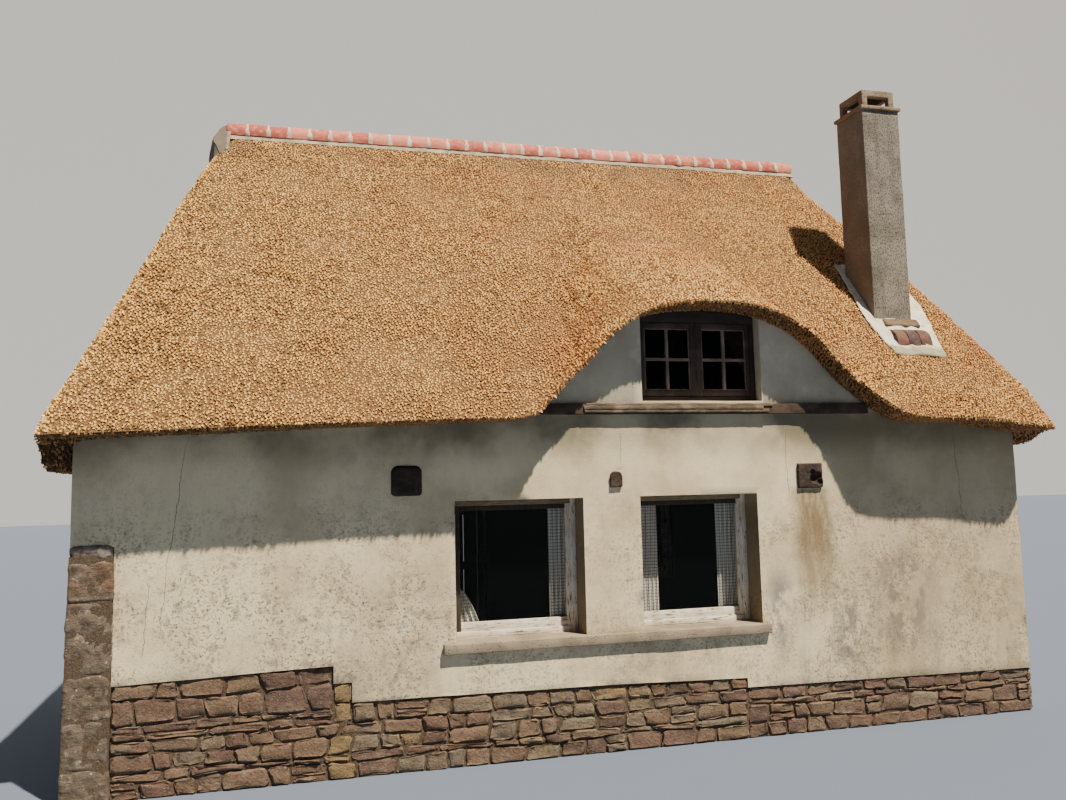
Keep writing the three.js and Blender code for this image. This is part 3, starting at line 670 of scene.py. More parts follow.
@dataclass(frozen=True)
class RubbleStone(Finish):
    """Split field stone: purple brown to ochre by the stone, with grey lichen crusts."""

    stops: Stops = (
        (0.0, "#56443c"), (0.22, "#6a5348"), (0.42, "#705949"), (0.6, "#786350"),
        (0.76, "#6e6458"), (0.9, "#86704f"), (1.0, "#8a7452"),
    )
    lichen: str = "#9d9889"
    moss: str = "#352d25"
    smear: str = "#857867"
    crust: float = 0.46
    mottling: float = 0.42

    def paint(self, brush: Brush) -> None:
        """Lay each stone's own tone, its mottling and the lichen."""
        tone = brush.add("ShaderNodeAttribute", attribute_name="tone")["Fac"]
        # mottling within a stone, in patches of about 45 mm
        spread = brush.add("ShaderNodeMath", brush.noise(0.045, 5.0), self.mottling, tone,
                           operation="MULTIPLY_ADD")[0]
        shade = brush.add("ShaderNodeMath", spread, self.mottling / 2, operation="SUBTRACT")[0]
        brush.colour = brush.add("ShaderNodeValToRGB", shade, stops=self.stops)[0]
        # lichen grows as pale crusts and as dots of 8 mm
        brush.lay(self.lichen, (brush.noise(0.06, 7.0, rough=0.72), 0.55, 0.68, 0.0, self.crust))
        distance, some = brush.dots(55.0, 0.72, 0.8)
        brush.lay(self.lichen, (distance, 0.32, 0.18), some, self.crust)
        # mortar was wiped over some of the stones
        brush.lay(self.smear, (brush.noise(0.22, 6.0, rough=0.7), 0.52, 0.66, 0.0, 0.5))
        brush.lay(self.moss, (brush.noise(0.03, 6.0, rough=0.7), 0.5, 0.66, 0.0, 0.65))
        # split faces are pitted by a few millimetres
        brush.close(0.9, brush.noise(0.02, 7.0, rough=0.7), 0.014, 1.0)


@dataclass(frozen=True)
class QuoinStone(Finish):
    """Hammer-dressed corner stone: grey brown, level striae, rust above and pale specks."""

    grey: str = "#6f675d"
    brown: str = "#5f5043"
    pale: str = "#999285"
    dark: str = "#3d342c"
    rust: str = "#75543a"
    speck: str = "#a8a294"

    def paint(self, brush: Brush) -> None:
        """Lay each block's tone, then striae, rust, dirt and lichen specks."""
        tone = brush.add("ShaderNodeAttribute", attribute_name="tone")["Fac"]
        brush.colour = brush.add(
            "ShaderNodeValToRGB", tone,
            stops=((0.0, self.dark), (0.35, self.brown), (0.7, self.grey), (1.0, self.pale)))[0]
        # the stone's own mottling, in clouds of 90 mm
        brush.lay(self.brown, (brush.noise(0.09, 6.0, rough=0.68), 0.34, 0.7, 0.0, 0.55))
        # dirt holds in hollows of 5 cm, and grey lichen on the swellings
        hollows = brush.noise(0.06, 7.0, rough=0.74)
        brush.lay(self.dark, (hollows, 0.48, 0.36, 0.0, 0.8))
        brush.lay(self.speck, (hollows, 0.56, 0.66, 0.0, 0.6))
        # water has left rust between 1.2 and 1.65 m up
        height = brush.add("ShaderNodeSeparateXYZ", brush.place)[2]
        brush.lay(self.rust, (brush.noise(0.16, 6.0), 0.4, 0.7, 0.0, 0.5), (height, 1.15, 1.5),
                  (height, 1.68, 1.6))
        # striae lie nearly level, a few centimetres apart
        striae = brush.noise(0.08, 6.0, (0.7, 0.7, 1.6), 0.7)
        brush.lay(self.dark, (striae, 0.5, 0.7, 0.0, 0.4))
        distance, some = brush.dots(27.0, 0.8, 0.86)
        ragged = brush.add(
            "ShaderNodeMath", brush.noise(0.015), 0.5, distance, operation="MULTIPLY_ADD")[0]
        brush.lay(self.speck, (ragged, 0.5, 0.38, 0.0, 0.8), some)
        both = brush.add("ShaderNodeMath", hollows, striae, operation="SUBTRACT")[0]
        brush.close(0.92, both, 0.014, 0.9)


@dataclass(frozen=True)
class EarthMortar(Finish):
    """Earth and lime packed between stones: dull brown and crumbly."""

    light: str = "#695a4a"
    dark: str = "#30261d"

    def paint(self, brush: Brush) -> None:
        """Lay crumbs of about a centimetre in two browns."""
        crumbs = brush.noise(0.012, 6.0, rough=0.7)
        brush.colour = brush.add(
            "ShaderNodeValToRGB", crumbs, stops=((0.3, self.dark), (0.7, self.light)))[0]
        brush.close(0.97, crumbs, 0.008, 0.9)


@dataclass(frozen=True)
class ReedButts(Finish):
    """New water reed dressed level: golden straw ends, each a little lighter or darker."""

    stops: Stops = (
        (0.0, "#5d4226"), (0.12, "#a87f4a"), (0.3, "#dfb670"), (0.5, "#eec67a"),
        (0.8, "#f3cc80"), (1.0, "#f6d38c"),
    )
    patch: str = "#cb8d58"
    worn: str = "#a27e60"

    def paint(self, brush: Brush) -> None:
        """Lay each reed's tone, then the pinkish and the worn brown patches of the coat."""
        # each reed's tone includes a painted share of light, which darkens reed ends that face down
        tone = brush.add("ShaderNodeAttribute", attribute_name="tone")["Fac"]
        # handfuls of reed 5 cm across are a little lighter or darker than their neighbours
        spread = brush.add(
            "ShaderNodeMath", brush.noise(0.055, 2.0), 0.8, tone, operation="MULTIPLY_ADD")[0]
        shade = brush.add("ShaderNodeMath", spread, 0.37, operation="SUBTRACT")[0]
        brush.colour = brush.add("ShaderNodeValToRGB", shade, stops=self.stops)[0]
        # each laid course took reed of another field, so tones drift over a metre or two
        axes = brush.add("ShaderNodeSeparateXYZ", brush.place)
        brush.lay(self.patch, (brush.noise(0.8), 0.42, 0.68, 0.25, 0.75),
                  (axes[0], -3.6, 0.0, 0.08, 1.0))
        brush.lay(self.worn, (brush.noise(0.35), 0.46, 0.64, 0.0, 0.7), (axes[2], 4.9, 5.5))
        brush.close(0.72)


@dataclass(frozen=True)
class StrawBed(Finish):
    """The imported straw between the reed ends: brown, in shade, with fine fibres."""

    light: str = "#b98e58"
    dark: str = "#664828"
    shade: str = "#2b1c11"

    def paint(self, brush: Brush) -> None:
        """Lay grains of 15 mm with dark gaps, partly the straw's brown and partly painted shade of
        the deep gaps between the reed ends.
        """
        grains = brush.add("ShaderNodeTexVoronoi", brush.place, None, 62.0)
        gaps = brush.share((grains["Distance"], 0.5, 0.15))
        brush.lay(self.light, gaps, under=self.dark)
        brush.lay(self.dark, (brush.noise(0.5), 0.45, 0.7, 0.0, 0.25))
        # painted shade: straw that faces down is darkened, standing in for the shade under the eave
        up = brush.add("ShaderNodeSeparateXYZ", brush.add("ShaderNodeNewGeometry")["Normal"])[2]
        brush.lay(self.shade, (up, 0.25, -0.1, 0.0, 0.93))
        brush.close(0.85, gaps, 0.01, 1.0)


@dataclass(frozen=True)
class FiredClay(Finish):
    """Fired roof clay: matt salmon red with a pale bloom and darker fire marks."""

    light: str = "#d3826f"
    dark: str = "#a9503f"
    bloom: str = "#d9a794"
    bloom_share: float = 0.55
    streak: Triple = (1.0, 1.0, 1.0)

    def paint(self, brush: Brush) -> None:
        """Lay each tile's tone, fire marks and bloom."""
        tone = brush.add("ShaderNodeAttribute", attribute_name="tone")["Fac"]
        mixed = brush.add("ShaderNodeMath", tone, 0.6, brush.noise(0.07, 5.0, self.streak),
                          operation="MULTIPLY_ADD")[0]
        brush.lay(self.dark, (mixed, 0.45, 1.05), under=self.light)
        brush.lay(self.bloom, (brush.noise(0.05, 5.0), 0.5, 0.7, 0.0, self.bloom_share))
        brush.close(0.8, brush.noise(0.006), 0.0012, 0.6)


@dataclass(frozen=True)
class TrowelledMortar(Finish):
    """Trowelled mortar: even and pale, with float marks and small dirt in the hollows."""

    light: str = "#d8cfbb"
    dark: str = "#a79d87"
    dirt: str = "#6f6a57"
    dirt_share: float = 0.35
    green_below: float | None = None
    green: str = "#8f8f74"
    darker_left_of: float | None = None
    left_end_tone: str = "#5d564c"

    def paint(self, brush: Brush) -> None:
        """Lay float marks and dirt, then green algae below one line and a darker tone left of
        another where these are given.
        """
        float_marks = brush.noise(0.09)
        brush.lay(self.dark, (float_marks, 0.35, 0.7), under=self.light)
        brush.lay(self.dirt, (brush.noise(0.03, 6.0), 0.55, 0.75, 0.0, self.dirt_share))
        axes = brush.add("ShaderNodeSeparateXYZ", brush.place)
        if self.green_below is not None:
            wave = brush.add(
                "ShaderNodeMath", float_marks, 0.03, axes[1], operation="MULTIPLY_ADD")[0]
            brush.lay(self.green, (wave, self.green_below + 0.03, self.green_below, 0.0, 0.9))
        # darker towards the left end, past a line
        if self.darker_left_of is not None:
            brush.lay(self.left_end_tone, (axes[0], self.darker_left_of + 0.03, self.darker_left_of, 0.0, 0.85))
        brush.close(0.92, brush.noise(0.015, 6.0), 0.004, 0.7)


@dataclass(frozen=True)
class CastConcrete(Finish):
    """Old cast concrete: grey grit laid bare, black pits, orange lichen, and brown painted shade on
    the side that faces left.
    """

    light: str = "#b3ab99"
    dark: str = "#7f786b"
    pit: str = "#2e2a25"
    brown: str = "#8a6f55"
    shaded_left_side: bool = False
    orange: str = "#b5792c"
    orange_share: float = 0.0
    pit_share: float = 0.9
    pit_scale: float = 34.0
    pit_least: float = 0.5
    streaks: float = 0.0
    specks: float = 0.0
    flue: bool = False
    soot_and_shade: str = "#15110e"

    def paint(self, brush: Brush) -> None:
        """Lay grit of 10 mm, pits, orange lichen, and brown painted shade on the side that faces
        left.
        """
        clouds = brush.noise(0.22, 5.0)
        brush.lay(self.dark, (clouds, 0.38, 0.68), under=self.light)
        grit = brush.noise(0.011, rough=0.7)
        brush.lay(self.dark, (grit, 0.5, 0.72, 0.0, 0.5))
        if self.streaks:
            runs = brush.noise(0.09, 5.0, (1.0, 1.0, 0.12))
            brush.lay(self.pit, (runs, 0.5, 0.68, 0.0, self.streaks))
        if self.specks:
            # grit has fallen out in specks about 1 cm across and a little taller
            worn = brush.noise(0.0135, 3.0, (1.0, 1.0, 0.6), 0.62)
            brush.lay(self.pit, (worn, 0.5, 0.6, 0.0, self.specks))
        # pits of 6 to 15 mm where sand has washed out
        distance, some = brush.dots(self.pit_scale, self.pit_least, self.pit_least + 0.12)
        holes = brush.share((distance, 0.34, 0.16), some)
        brush.lay(self.pit, holes, self.pit_share)
        if self.shaded_left_side:
            # painted shade: faces that look left, away from the light, are painted brown
            side = brush.add(
                "ShaderNodeSeparateXYZ", brush.add("ShaderNodeNewGeometry")["Normal"])[0]
            brush.lay(self.brown, (side, -0.4, -0.9, 0.12, 0.75), (clouds, 0.2, 0.6, 0.7, 1.0))
        if self.orange_share:
            crust = brush.noise(0.11, 5.0)
            brush.lay(self.orange, (crust, 0.5, 0.62, 0.0, self.orange_share))
        if self.flue:
            # soot and painted shade: what faces the deep flue is painted near black
            axes = brush.add("ShaderNodeSeparateXYZ", brush.place)
            brush.lay(self.soot_and_shade, brush.near(axes[0], house(7106, 0, 0).x, 0.124, 0.004),
                      brush.near(axes[1], house(0, 641, 0).y, 0.141, 0.004))
        brush.close(
            0.94, brush.add("ShaderNodeMath", grit, holes, operation="SUBTRACT")[0], 0.005, 0.8)


@dataclass(frozen=True)
class WeatheredTimber(Finish):
    """Timber left to the weather: grain opened into grooves, silver over brown."""

    grain: Grain = Grain.ALONG_X
    light: str = "#8d7d68"
    dark: str = "#3a2c20"
    silver: str = "#a79c8a"
    silver_share: float = 0.4
    fibre: float = 0.09
    roughness: float = 0.85

    def paint(self, brush: Brush) -> None:
        """Lay long fibres, silvering and checks that run with the grain."""
        fibres = brush.noise(self.fibre, 6.0, self.grain.value, 0.6)
        brush.colour = brush.add(
            "ShaderNodeValToRGB", fibres, stops=((0.32, self.dark), (0.68, self.light)))[0]
        brush.lay(self.silver, (brush.noise(0.2), 0.45, 0.65, 0.0, self.silver_share))
        brush.close(self.roughness, fibres, 0.004, 0.8)


@dataclass(frozen=True)
class PeelingPaint(Finish):
    """Old white gloss on softwood: chalky, cracked with the grain, bare grey where it fell."""

    grain: Grain = Grain.ALONG_X
    white: str = "#e4dfd4"
    chalk: str = "#cfc4b6"
    bare: str = "#77695c"

    def paint(self, brush: Brush) -> None:
        """Lay chalky paint and flakes missing along the grain."""
        brush.lay(self.chalk, (brush.noise(0.12), 0.35, 0.7), under=self.white)
        flakes = brush.noise(0.11, 7.0, tuple((s ** 0.72 for s in self.grain.value)), 0.72)
        gone = brush.share((flakes, 0.56, 0.6))
        brush.lay(self.bare, gone)
        drop = brush.add("ShaderNodeMath", 1.0, gone, operation="SUBTRACT")[0]
        brush.close(brush.share((gone, 0.0, 1.0, 0.5, 0.85)), drop, 0.0015, 0.9)


@dataclass(frozen=True)
class WindowGlass(Finish):
    """Drawn window glass, dark from outside as the rooms behind are unlit."""

    tint: str = "#0d1211"
    cover: float = 0.12

    def paint(self, brush: Brush) -> None:
        """Let light pass, with a slight wave in the reflection."""
        brush.colour = linear(self.tint)
        brush.feed(brush.shader, {"IOR": 1.5, "Alpha": self.cover})
        brush.close(0.03, brush.noise(0.25, 1.0), 0.002, 0.25)


@dataclass(frozen=True)
class CheckedNet(Finish):
    """White cotton gauze with a check of grey threads, a little see-through between them."""

    thread: str = "#6d7474"
    ground: str = "#f4f3ee"
    check: float = 0.0135

    def paint(self, brush: Brush) -> None:
        """Lay the woven check on the cloth's own measure and keep it a little see-through."""
        lines = []
        axes = brush.add("ShaderNodeSeparateXYZ", brush.add("ShaderNodeUVMap", uv_map="cloth")[0])
        for axis in axes[:2]:
            # the cloth's measure is in metres, so a cell is one check
            cell = brush.add("ShaderNodeMath", axis, self.check, operation="PINGPONG")[0]
            share = brush.share(cell, 1 / self.check)
            lines.append(brush.share((share, 0.34, 0.16, 0.0, 0.85)))
        woven = brush.add("ShaderNodeMath", *lines, operation="MAXIMUM")[0]
        brush.lay(self.thread, woven, under=self.ground)
        brush.feed(brush.shader,
                   {"Alpha": brush.share((woven, 0.0, 1.0, 0.86, 0.97)), "Sheen Weight": 0.2})
        brush.close(0.9)


@dataclass(frozen=True)
class DullMetal(Finish):
    """Metal left to dull: drawn rod or forged iron with a brown film in places."""

    bright: str = "#a68445"
    film: str = "#4c3920"
    roughness: float = 0.45

    def paint(self, brush: Brush) -> None:
        """Lay the film over the metal."""
        brush.lay(self.film, (brush.noise(0.02), 0.4, 0.7), under=self.bright)
        brush.feed(brush.shader, {"Metallic": 1.0})
        brush.close(self.roughness)


@dataclass(frozen=True)
class PaleFloor(Finish):
    """Matt studio paint, rolled on floor or backdrop."""

    tone: str = "#636f84"
    trace: str = "#5c687c"

    def paint(self, brush: Brush) -> None:
        """Keep the paint even, with a trace of roller texture."""
        brush.lay(self.trace, (brush.noise(0.4, 3.0), 0.3, 0.7, 0.0, 0.06), under=self.tone)
        brush.close(0.95)


RENDER = LimeRender("trowelled lime render")
PLAIN_RENDER = LimeRender("trowelled lime render of the unseen sides", marks=False)
# painted shade: the dormer's render is a greyer, bluer copy of the front's, tuned to the dormer
# wall's look in shade
DORMER_RENDER = LimeRender(
    "trowelled lime render of the dormer", cream="#cfc8b4", tan="#aba48f", damp_top=0.4,
    marks=False)
STONE = RubbleStone("split rubble stone")
QUOIN = QuoinStone("dressed quoin stone")
BED_MORTAR = EarthMortar("earth and lime mortar")
REED = ReedButts("dressed water reed")
STRAW = StrawBed("packed straw")
RIDGE_CLAY = FiredClay("fired clay ridge tile")
APRON_CLAY = FiredClay(
    "weathered clay apron tile", light="#75493b", dark="#3d2a2b", bloom="#7b6a60", bloom_share=0.4,
    streak=(1.0, 0.4, 1.0))
RIDGE_MORTAR = TrowelledMortar(
    "trowelled ridge mortar", light="#aca392", dark="#857d6d", dirt_share=0.5,
    darker_left_of=house(920, 0, 0).x)
JOINT_MORTAR = TrowelledMortar(
    "pale joint mortar", light="#dccdbf", dark="#c0b1a0", dirt_share=0.15)
SANDY_MORTAR = TrowelledMortar(
    "sandy mortar", light="#776350", dark="#544535", dirt="#3c3126", dirt_share=0.6)
FLASHING = TrowelledMortar(
    "trowelled chimney mortar", light="#e6e0d0", dark="#c9c1ae", green_below=house(0, 170, 0).y)
CHIMNEY = CastConcrete(
    "cast concrete shaft", light="#958f85", dark="#767167", brown="#665e59", shaded_left_side=True,
    pit_scale=60.0, pit_least=0.15, streaks=0.25, specks=0.72)
CHIMNEY_TOP = CastConcrete(
    "cast concrete cap", light="#9a8d77", dark="#6f6453", brown="#5c4a3d", shaded_left_side=True,
    orange_share=0.3, pit_share=0.6, specks=0.3, flue=True)
SILL = CastConcrete(
    "cast concrete sill", light="#968b79", dark="#7f7463", pit_share=0.4, pit_scale=50.0)
BEAM_END = WeatheredTimber(
    "weathered oak beam", Grain.ALONG_Y, light="#41302a", dark="#120c0a", silver="#5d4a42",
    silver_share=0.45, fibre=0.05)
LINTEL = WeatheredTimber(
    "weathered oak lintel", light="#4a382b", dark="#1d140f", silver="#69584a", silver_share=0.35)
BOARD = WeatheredTimber(
    "grey weathered board", light="#756553", dark="#382c22", silver="#92836f", silver_share=0.55)
SOFTWOOD = WeatheredTimber(
    "sawn softwood", Grain.ALONG_Y, light="#b08d5c", dark="#7c5a34", silver="#a5865c",
    silver_share=0.2)
BROWN_UPRIGHT = WeatheredTimber(
    "dark stained upright", Grain.ALONG_Z, light="#33241f", dark="#170d0a", silver="#4e3d38",
    silver_share=0.3, roughness=0.6)
BROWN_ACROSS = replace(BROWN_UPRIGHT, title="dark stained rail", grain=Grain.ALONG_X)
STILE_UPRIGHT = WeatheredTimber(
    "worn stained stile", Grain.ALONG_Z, light="#493832", dark="#221713", silver="#685750",
    silver_share=0.4, roughness=0.65)
STILE_ACROSS = replace(STILE_UPRIGHT, title="worn stained leaf rail", grain=Grain.ALONG_X)
BAR_UPRIGHT = WeatheredTimber(
    "bare upright glazing bar", Grain.ALONG_Z, light="#8b7a70", dark="#55463e", silver="#9f9187",
    silver_share=0.5)
BAR_ACROSS = replace(BAR_UPRIGHT, title="bare level glazing bar", grain=Grain.ALONG_X)
BARE_HEAD = WeatheredTimber(
    "bare window head", Grain.ALONG_X, light="#93866a", dark="#5b503d", silver="#9a8f76",
    silver_share=0.4)
# painted shade for the sash members that lie in the frame's shade
SHADED_SASH = WeatheredTimber(
    "sash edge painted dark as shade", Grain.ALONG_Z, light="#453d33", dark="#241f19", silver="#554c40",
    silver_share=0.3)
WHITE_UPRIGHT = PeelingPaint("peeling white paint on uprights", Grain.ALONG_Z)
WHITE_ACROSS = PeelingPaint("peeling white paint on rails", Grain.ALONG_X)
GLASS = WindowGlass("drawn window glass")
# painted shade: the back pane is dark and nearly opaque, standing in for the dark room seen through
# the front windows
DARKENED_BACK_GLASS = WindowGlass("back window glass painted dark as shade", tint="#1c1914", cover=0.97)
NET = CheckedNet("checked cotton net")
BRASS = DullMetal("dull brass rod")
IRON = DullMetal("forged iron", bright="#4a4744", film="#2b211b", roughness=0.6)
FLOOR_LIME = EarthMortar("beaten earth floor", light="#8d806b", dark="#655a49")
STUDIO_FLOOR = PaleFloor("matt studio floor")
STUDIO_BACKDROP = PaleFloor("matt studio backdrop", "#b9bdc4", "#b2b6bd")


class SubAssembly(ABC):
    """A part of the house that models its pieces and then dresses its CAD nodes."""

    @abstractmethod
    def build(self) -> None:
        """Model the new pieces."""

    def dress(self) -> None:
        """Give the CAD nodes that stay in view their finishes."""

    def make(self) -> None:
        """Build and dress, and say so in the log."""
        LOG.info("building %s", type(self).__name__)
        self.build()
        self.dress()


@dataclass
class Walls(SubAssembly):
    """Rendered rubble walls with worn arrises and an uneven, hand-floated face."""

    arris: float = 0.009
    cell: float = 0.1
    float_lump: float = 0.42
    float_height: float = 0.008
    packings: tuple[tuple[float, float], ...] = ((1200.0, 3040.0), (7110.0, 7560.0))
    packing_front: float = -2.0
    packing_depth: float = 42.0
    packing_foot: float = 2568.0

    def wall(self, node: str, finish: Finish, across: int) -> Piece:
        """Copy one wall and give it its worn and floated surface.

        Args:
            node: The CAD wall.
            finish: Its render.
            across: The axis along which the wall is long.

        Returns:
            The wall piece.
        """
        piece = cad_copy(node, f"{node}_render")
        soften(piece, self.arris, 2, 40.0)
        scored(piece, across, self.cell)
        scored(piece, 2, self.cell)
        roughen(piece, self.float_lump, self.float_height)
        return settle(smooth(piece, 35.0), "render", finish, node)

    def packing(self, number: int, start: float, end: float) -> Piece:
        """Fill the gap between the front wall and the thatch over a stretch of the wall.

        Args:
            number: The stretch's number, from 1.
            start: Where it starts along the front, in millimetres.
            end: Where it ends.

        Returns:
            The strip of render, with its top along the thatch.
        """
        coats = bmesh.new()
        for node in ("thatch_front_left", "thatch_eyebrow", "thatch_front_right"):
            coats.from_mesh(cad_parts[node].data)
        soffit = BVHTree.FromBMesh(coats)
        coats.free()
        foot = house(0, 0, self.packing_foot).z
        piece = box(f"eave_packing_{number}", house(start, self.packing_front, self.packing_foot),
                    house(end, self.packing_front + self.packing_depth, self.packing_foot + 40))
        scored(piece, 0, 0.08)
        for corner in piece.data.vertices:
            if corner.co.z > foot + 0.02:
                under = Vector((corner.co.x, corner.co.y, foot - 0.2))
                corner.co.z = soffit.ray_cast(under, Vector((0, 0, 1)))[0].z - 0.001
        return settle(smooth(piece, 35.0), "render", RENDER)

    def build(self) -> None:
        """Render the four walls and pack the gap under the eave."""
        for number, (start, end) in enumerate(self.packings, 1):
            self.packing(number, start, end)
        self.wall("front_wall", RENDER, 0)
        self.wall("back_wall", PLAIN_RENDER, 0)
        self.wall("left_wall", PLAIN_RENDER, 1)
        self.wall("right_wall", PLAIN_RENDER, 1)


@dataclass
class Stone:
    """One rubble stone: its four corners on the wall's face, and its tone."""

    corners: tuple[tuple[float, float], ...]
    tone: float


@dataclass
class Zone:
    """A stretch of the stone base that is coursed in one way, in metres along the face."""

    start: float
    end: float
    foot: float
    tops: tuple[float, float]
    courses: tuple[float, ...]
    length: tuple[float, float] | None = None
    split_share: float = 0.15
    set_back: float = 0.022


@dataclass
class StoneBases(SubAssembly):
    """Broken courses of split stones bedded on the wall bases, each a block of its own."""

    zones: tuple[Zone, ...] = (
        Zone(0.29, 5.19, 0.0, (0.4, 0.4), (0.13, 0.055, 0.12, 0.1)),
        Zone(5.19, 8.0, 0.0, (0.409, 0.376), (0.12, 0.14, 0.05, 0.1)),
        Zone(0.29, 1.82, 0.4, (0.783, 0.818), (0.05, 0.055, 0.16, 0.12)),
        Zone(1.82, 1.955, 0.4, (0.69, 0.69), (0.155, 0.13), (0.14, 0.15), 0.0),
        Zone(1.955, 5.19, 0.4, (0.545, 0.486), (0.12,)),
    )
    plain_courses: tuple[float, ...] = (0.14, 0.06, 0.15, 0.11, 0.06)
    length: tuple[float, float] = (0.13, 0.33)
    split_least: float = 0.12
    skew: float = 0.02
    thin_stretch: float = 1.3
    thin_skew: float = 0.4
    thin_course: float = 0.08
    wave: float = 0.013
    joint: float = 0.017
    proud: float = 0.021
    bedded: float = 0.03
    wobble: float = 0.008
    shortest: float = 0.035
    lowest: float = 0.025
    floor: float = 0.007
    step: tuple[float, float] = (1.82, 1.96)
    seed: int = 7

    def stone(self) -> Piece:
        """Model the stone that all others are cut from: a unit block worn round."""
        piece = box("stone", Vector((-0.5, -0.5, -0.5)), Vector((0.5, 0.5, 0.5)))
        soften(piece, 0.1, 1, 60.0)
        with editing(piece):
            bpy.ops.mesh.select_all(action="SELECT")
            bpy.ops.mesh.subdivide(number_cuts=1)
            bpy.ops.mesh.vertices_smooth(factor=0.4, repeat=1)
        return piece

    def row(
        self, foot: Callable[[float], float], top: Callable[[float], float], zone: Zone,
        thin: bool,
    ) -> list[Stone]:
        """Set one course's stones side by side with slanting joints.

        Args:
            foot: The height of the bed below, at a place along the face.
            top: The height of the bed above.
            zone: The zone that the course is in.
            thin: Whether the course is of thin flat stones.

        Returns:
            The stones.
        """
        stones = []
        shortest, longest = zone.length or self.length
        along, lean = zone.start, 0.0
        while along < zone.end - 0.01:
            reach = along + random.uniform(shortest, longest) * (self.thin_stretch if thin else 1.0)
            slant = random.uniform(-self.skew, self.skew) * (self.thin_skew if thin else 1.0)
            if zone.end - reach < shortest * 0.8:
                reach, slant = zone.end, 0.0
            low = [foot(x) for x in (along - lean, reach - slant)]
            high = [top(x) for x in (along + lean, reach + slant)]
            tone = self.tone_at((along + reach) / 2)
            shares = [0.0, 1.0]
            if high[0] - low[0] > self.split_least and random.random() < zone.split_share:
                shares.insert(1, random.uniform(0.35, 0.7))
            for lower, upper in zip(shares, shares[1:]):
                corners = []
                for share, ends in ((lower, (0, 1)), (upper, (1, 0))):
                    for side in ends:
                        swing = (lean, slant)[side] * (2 * share - 1)
                        corners.append(((along, reach)[side] + swing,
                                        low[side] + (high[side] - low[side]) * share))
                stones.append(Stone(tuple(corners), min(1.0, tone + random.uniform(0, 0.12))))
            along, lean = reach, slant
        return stones

    def tone_at(self, place: float) -> float:
        """Choose a stone's tone: purple brown at the left, ochre at the step, then greyer."""
        if self.step[0] < place < self.step[1]:
            return random.uniform(0.84, 0.92)
        if place < self.step[0]:
            return random.uniform(0.0, 0.6)
        return random.uniform(0.05, 0.8)

    def stones(self, zone: Zone) -> list[Stone]:
        """Lay out one zone's stones, course by course."""
        shares = [0.0]
        for course in zone.courses:
            shares.append(shares[-1] + course / sum(zone.courses))

        def bed(number: int) -> Callable[[float], float]:
            """Return the height of a bed joint at any place along the zone."""
            inner = 0 < number < len(shares) - 1
            swing = self.wave if inner else 0.0

            def height(place: float) -> float:
                """Return the joint's height at one place."""
                share = (place - zone.start) / (zone.end - zone.start)
                top = zone.tops[0] + (zone.tops[1] - zone.tops[0]) * share
                return zone.foot + (top - zone.foot) * shares[number] \
                    + swing * math.sin(4.3 * place + 2.1 * number)

            return height

        found = []
        for number, course in enumerate(zone.courses):
            found += self.row(bed(number), bed(number + 1), zone, course < self.thin_course)
        return found

    def face(self, name: str, zones: Sequence[Zone], turn: Matrix) -> Piece:
        """Bed the stones of one face.

        Args:
            name: The piece's name.
            zones: The face's zones.
            turn: Turns the face's own frame, where Y is inwards, to its place.

        Returns:
            The piece with all the face's stones.
        """
        template = self.stone()
        unit = np.array([v.co for v in template.data.vertices]) + 0.5
        across, inwards, upwards = unit.T
        draw = np.random.default_rng(self.seed)
        half = self.joint / 2
        blocks, tones = [], []
        for zone, stone in ((zone, stone) for zone in zones for stone in self.stones(zone)):
            (x0, z0), (x1, z1), (x2, z2), (x3, z3) = stone.corners
            if min(x1 - x0, x2 - x3) < self.shortest or min(z3 - z0, z2 - z1) < self.lowest:
                continue
            proud = draw.uniform(0.25, 1.0) * self.proud
            low = (1 - across) * (x0 + half) + across * (x1 - half)
            high = (1 - across) * (x3 + half) + across * (x2 - half)
            foot = (1 - across) * (z0 + half) + across * (z1 + half)
            top = (1 - across) * (z3 - half) + across * (z2 - half)
            block = np.stack([
                low + (high - low) * upwards,
                zone.set_back - proud + inwards * (proud + self.bedded),
                foot + (top - foot) * upwards,
            ], axis=1) + draw.uniform(-self.wobble, self.wobble, unit.shape)
            block[:, 2] = np.maximum(block[:, 2], self.floor)
            blocks.append(block)
            tones.append(stone.tone)
        matrix = np.array([list(row) for row in turn])
        placed = np.array(blocks) @ matrix[:3, :3].T + matrix[:3, 3]
        piece = roughen(copies(name, template, placed, tones), 0.05, 0.02, 3)
        return settle(smooth(piece, 50.0), "rubble", STONE)

    def build(self) -> None:
        """Bed the stones of the four faces."""
        random.seed(self.seed)
        front = Matrix.Translation(LEFT_FRONT_CORNER)
        back = Matrix.Translation(house(8000, 4324, 0)) @ Matrix.Rotation(math.pi, 4, "Z")
        left = Matrix.Translation(house(0, 4324, 0)) @ Matrix.Rotation(-math.pi / 2, 4, "Z")
        right = Matrix.Translation(house(8000, 0, 0)) @ Matrix.Rotation(math.pi / 2, 4, "Z")
        self.face("front_base_stones", self.zones, front)
        # each zone's end along the face, its top and how far back its bed is: the ends of the
        # front and back bases stand flush with the render
        for side, turn, ends in (
            ("back", back, ((8.0, 0.52, 0.022),)),
            ("left", left, ((0.42, 0.52, 0.003), (3.904, 0.52, 0.022), (4.02, 0.77, 0.003))),
            ("right", right, ((0.42, 0.376, 0.003), (3.904, 0.52, 0.022), (4.324, 0.52, 0.003))),
        ):
            starts = [0.0] + [end for end, _, _ in ends]
            zones = tuple(
                Zone(start, end, 0.0, (top, top), self.plain_courses, set_back=set_back)
                for start, (end, top, set_back) in zip(starts, ends))
            self.face(f"{side}_base_stones", zones, turn)

    def dress(self) -> None:
        """Show earth mortar behind the stones."""
        for side in ("front", "back", "left", "right"):
            dress_node(f"{side}_stone_base", BED_MORTAR)


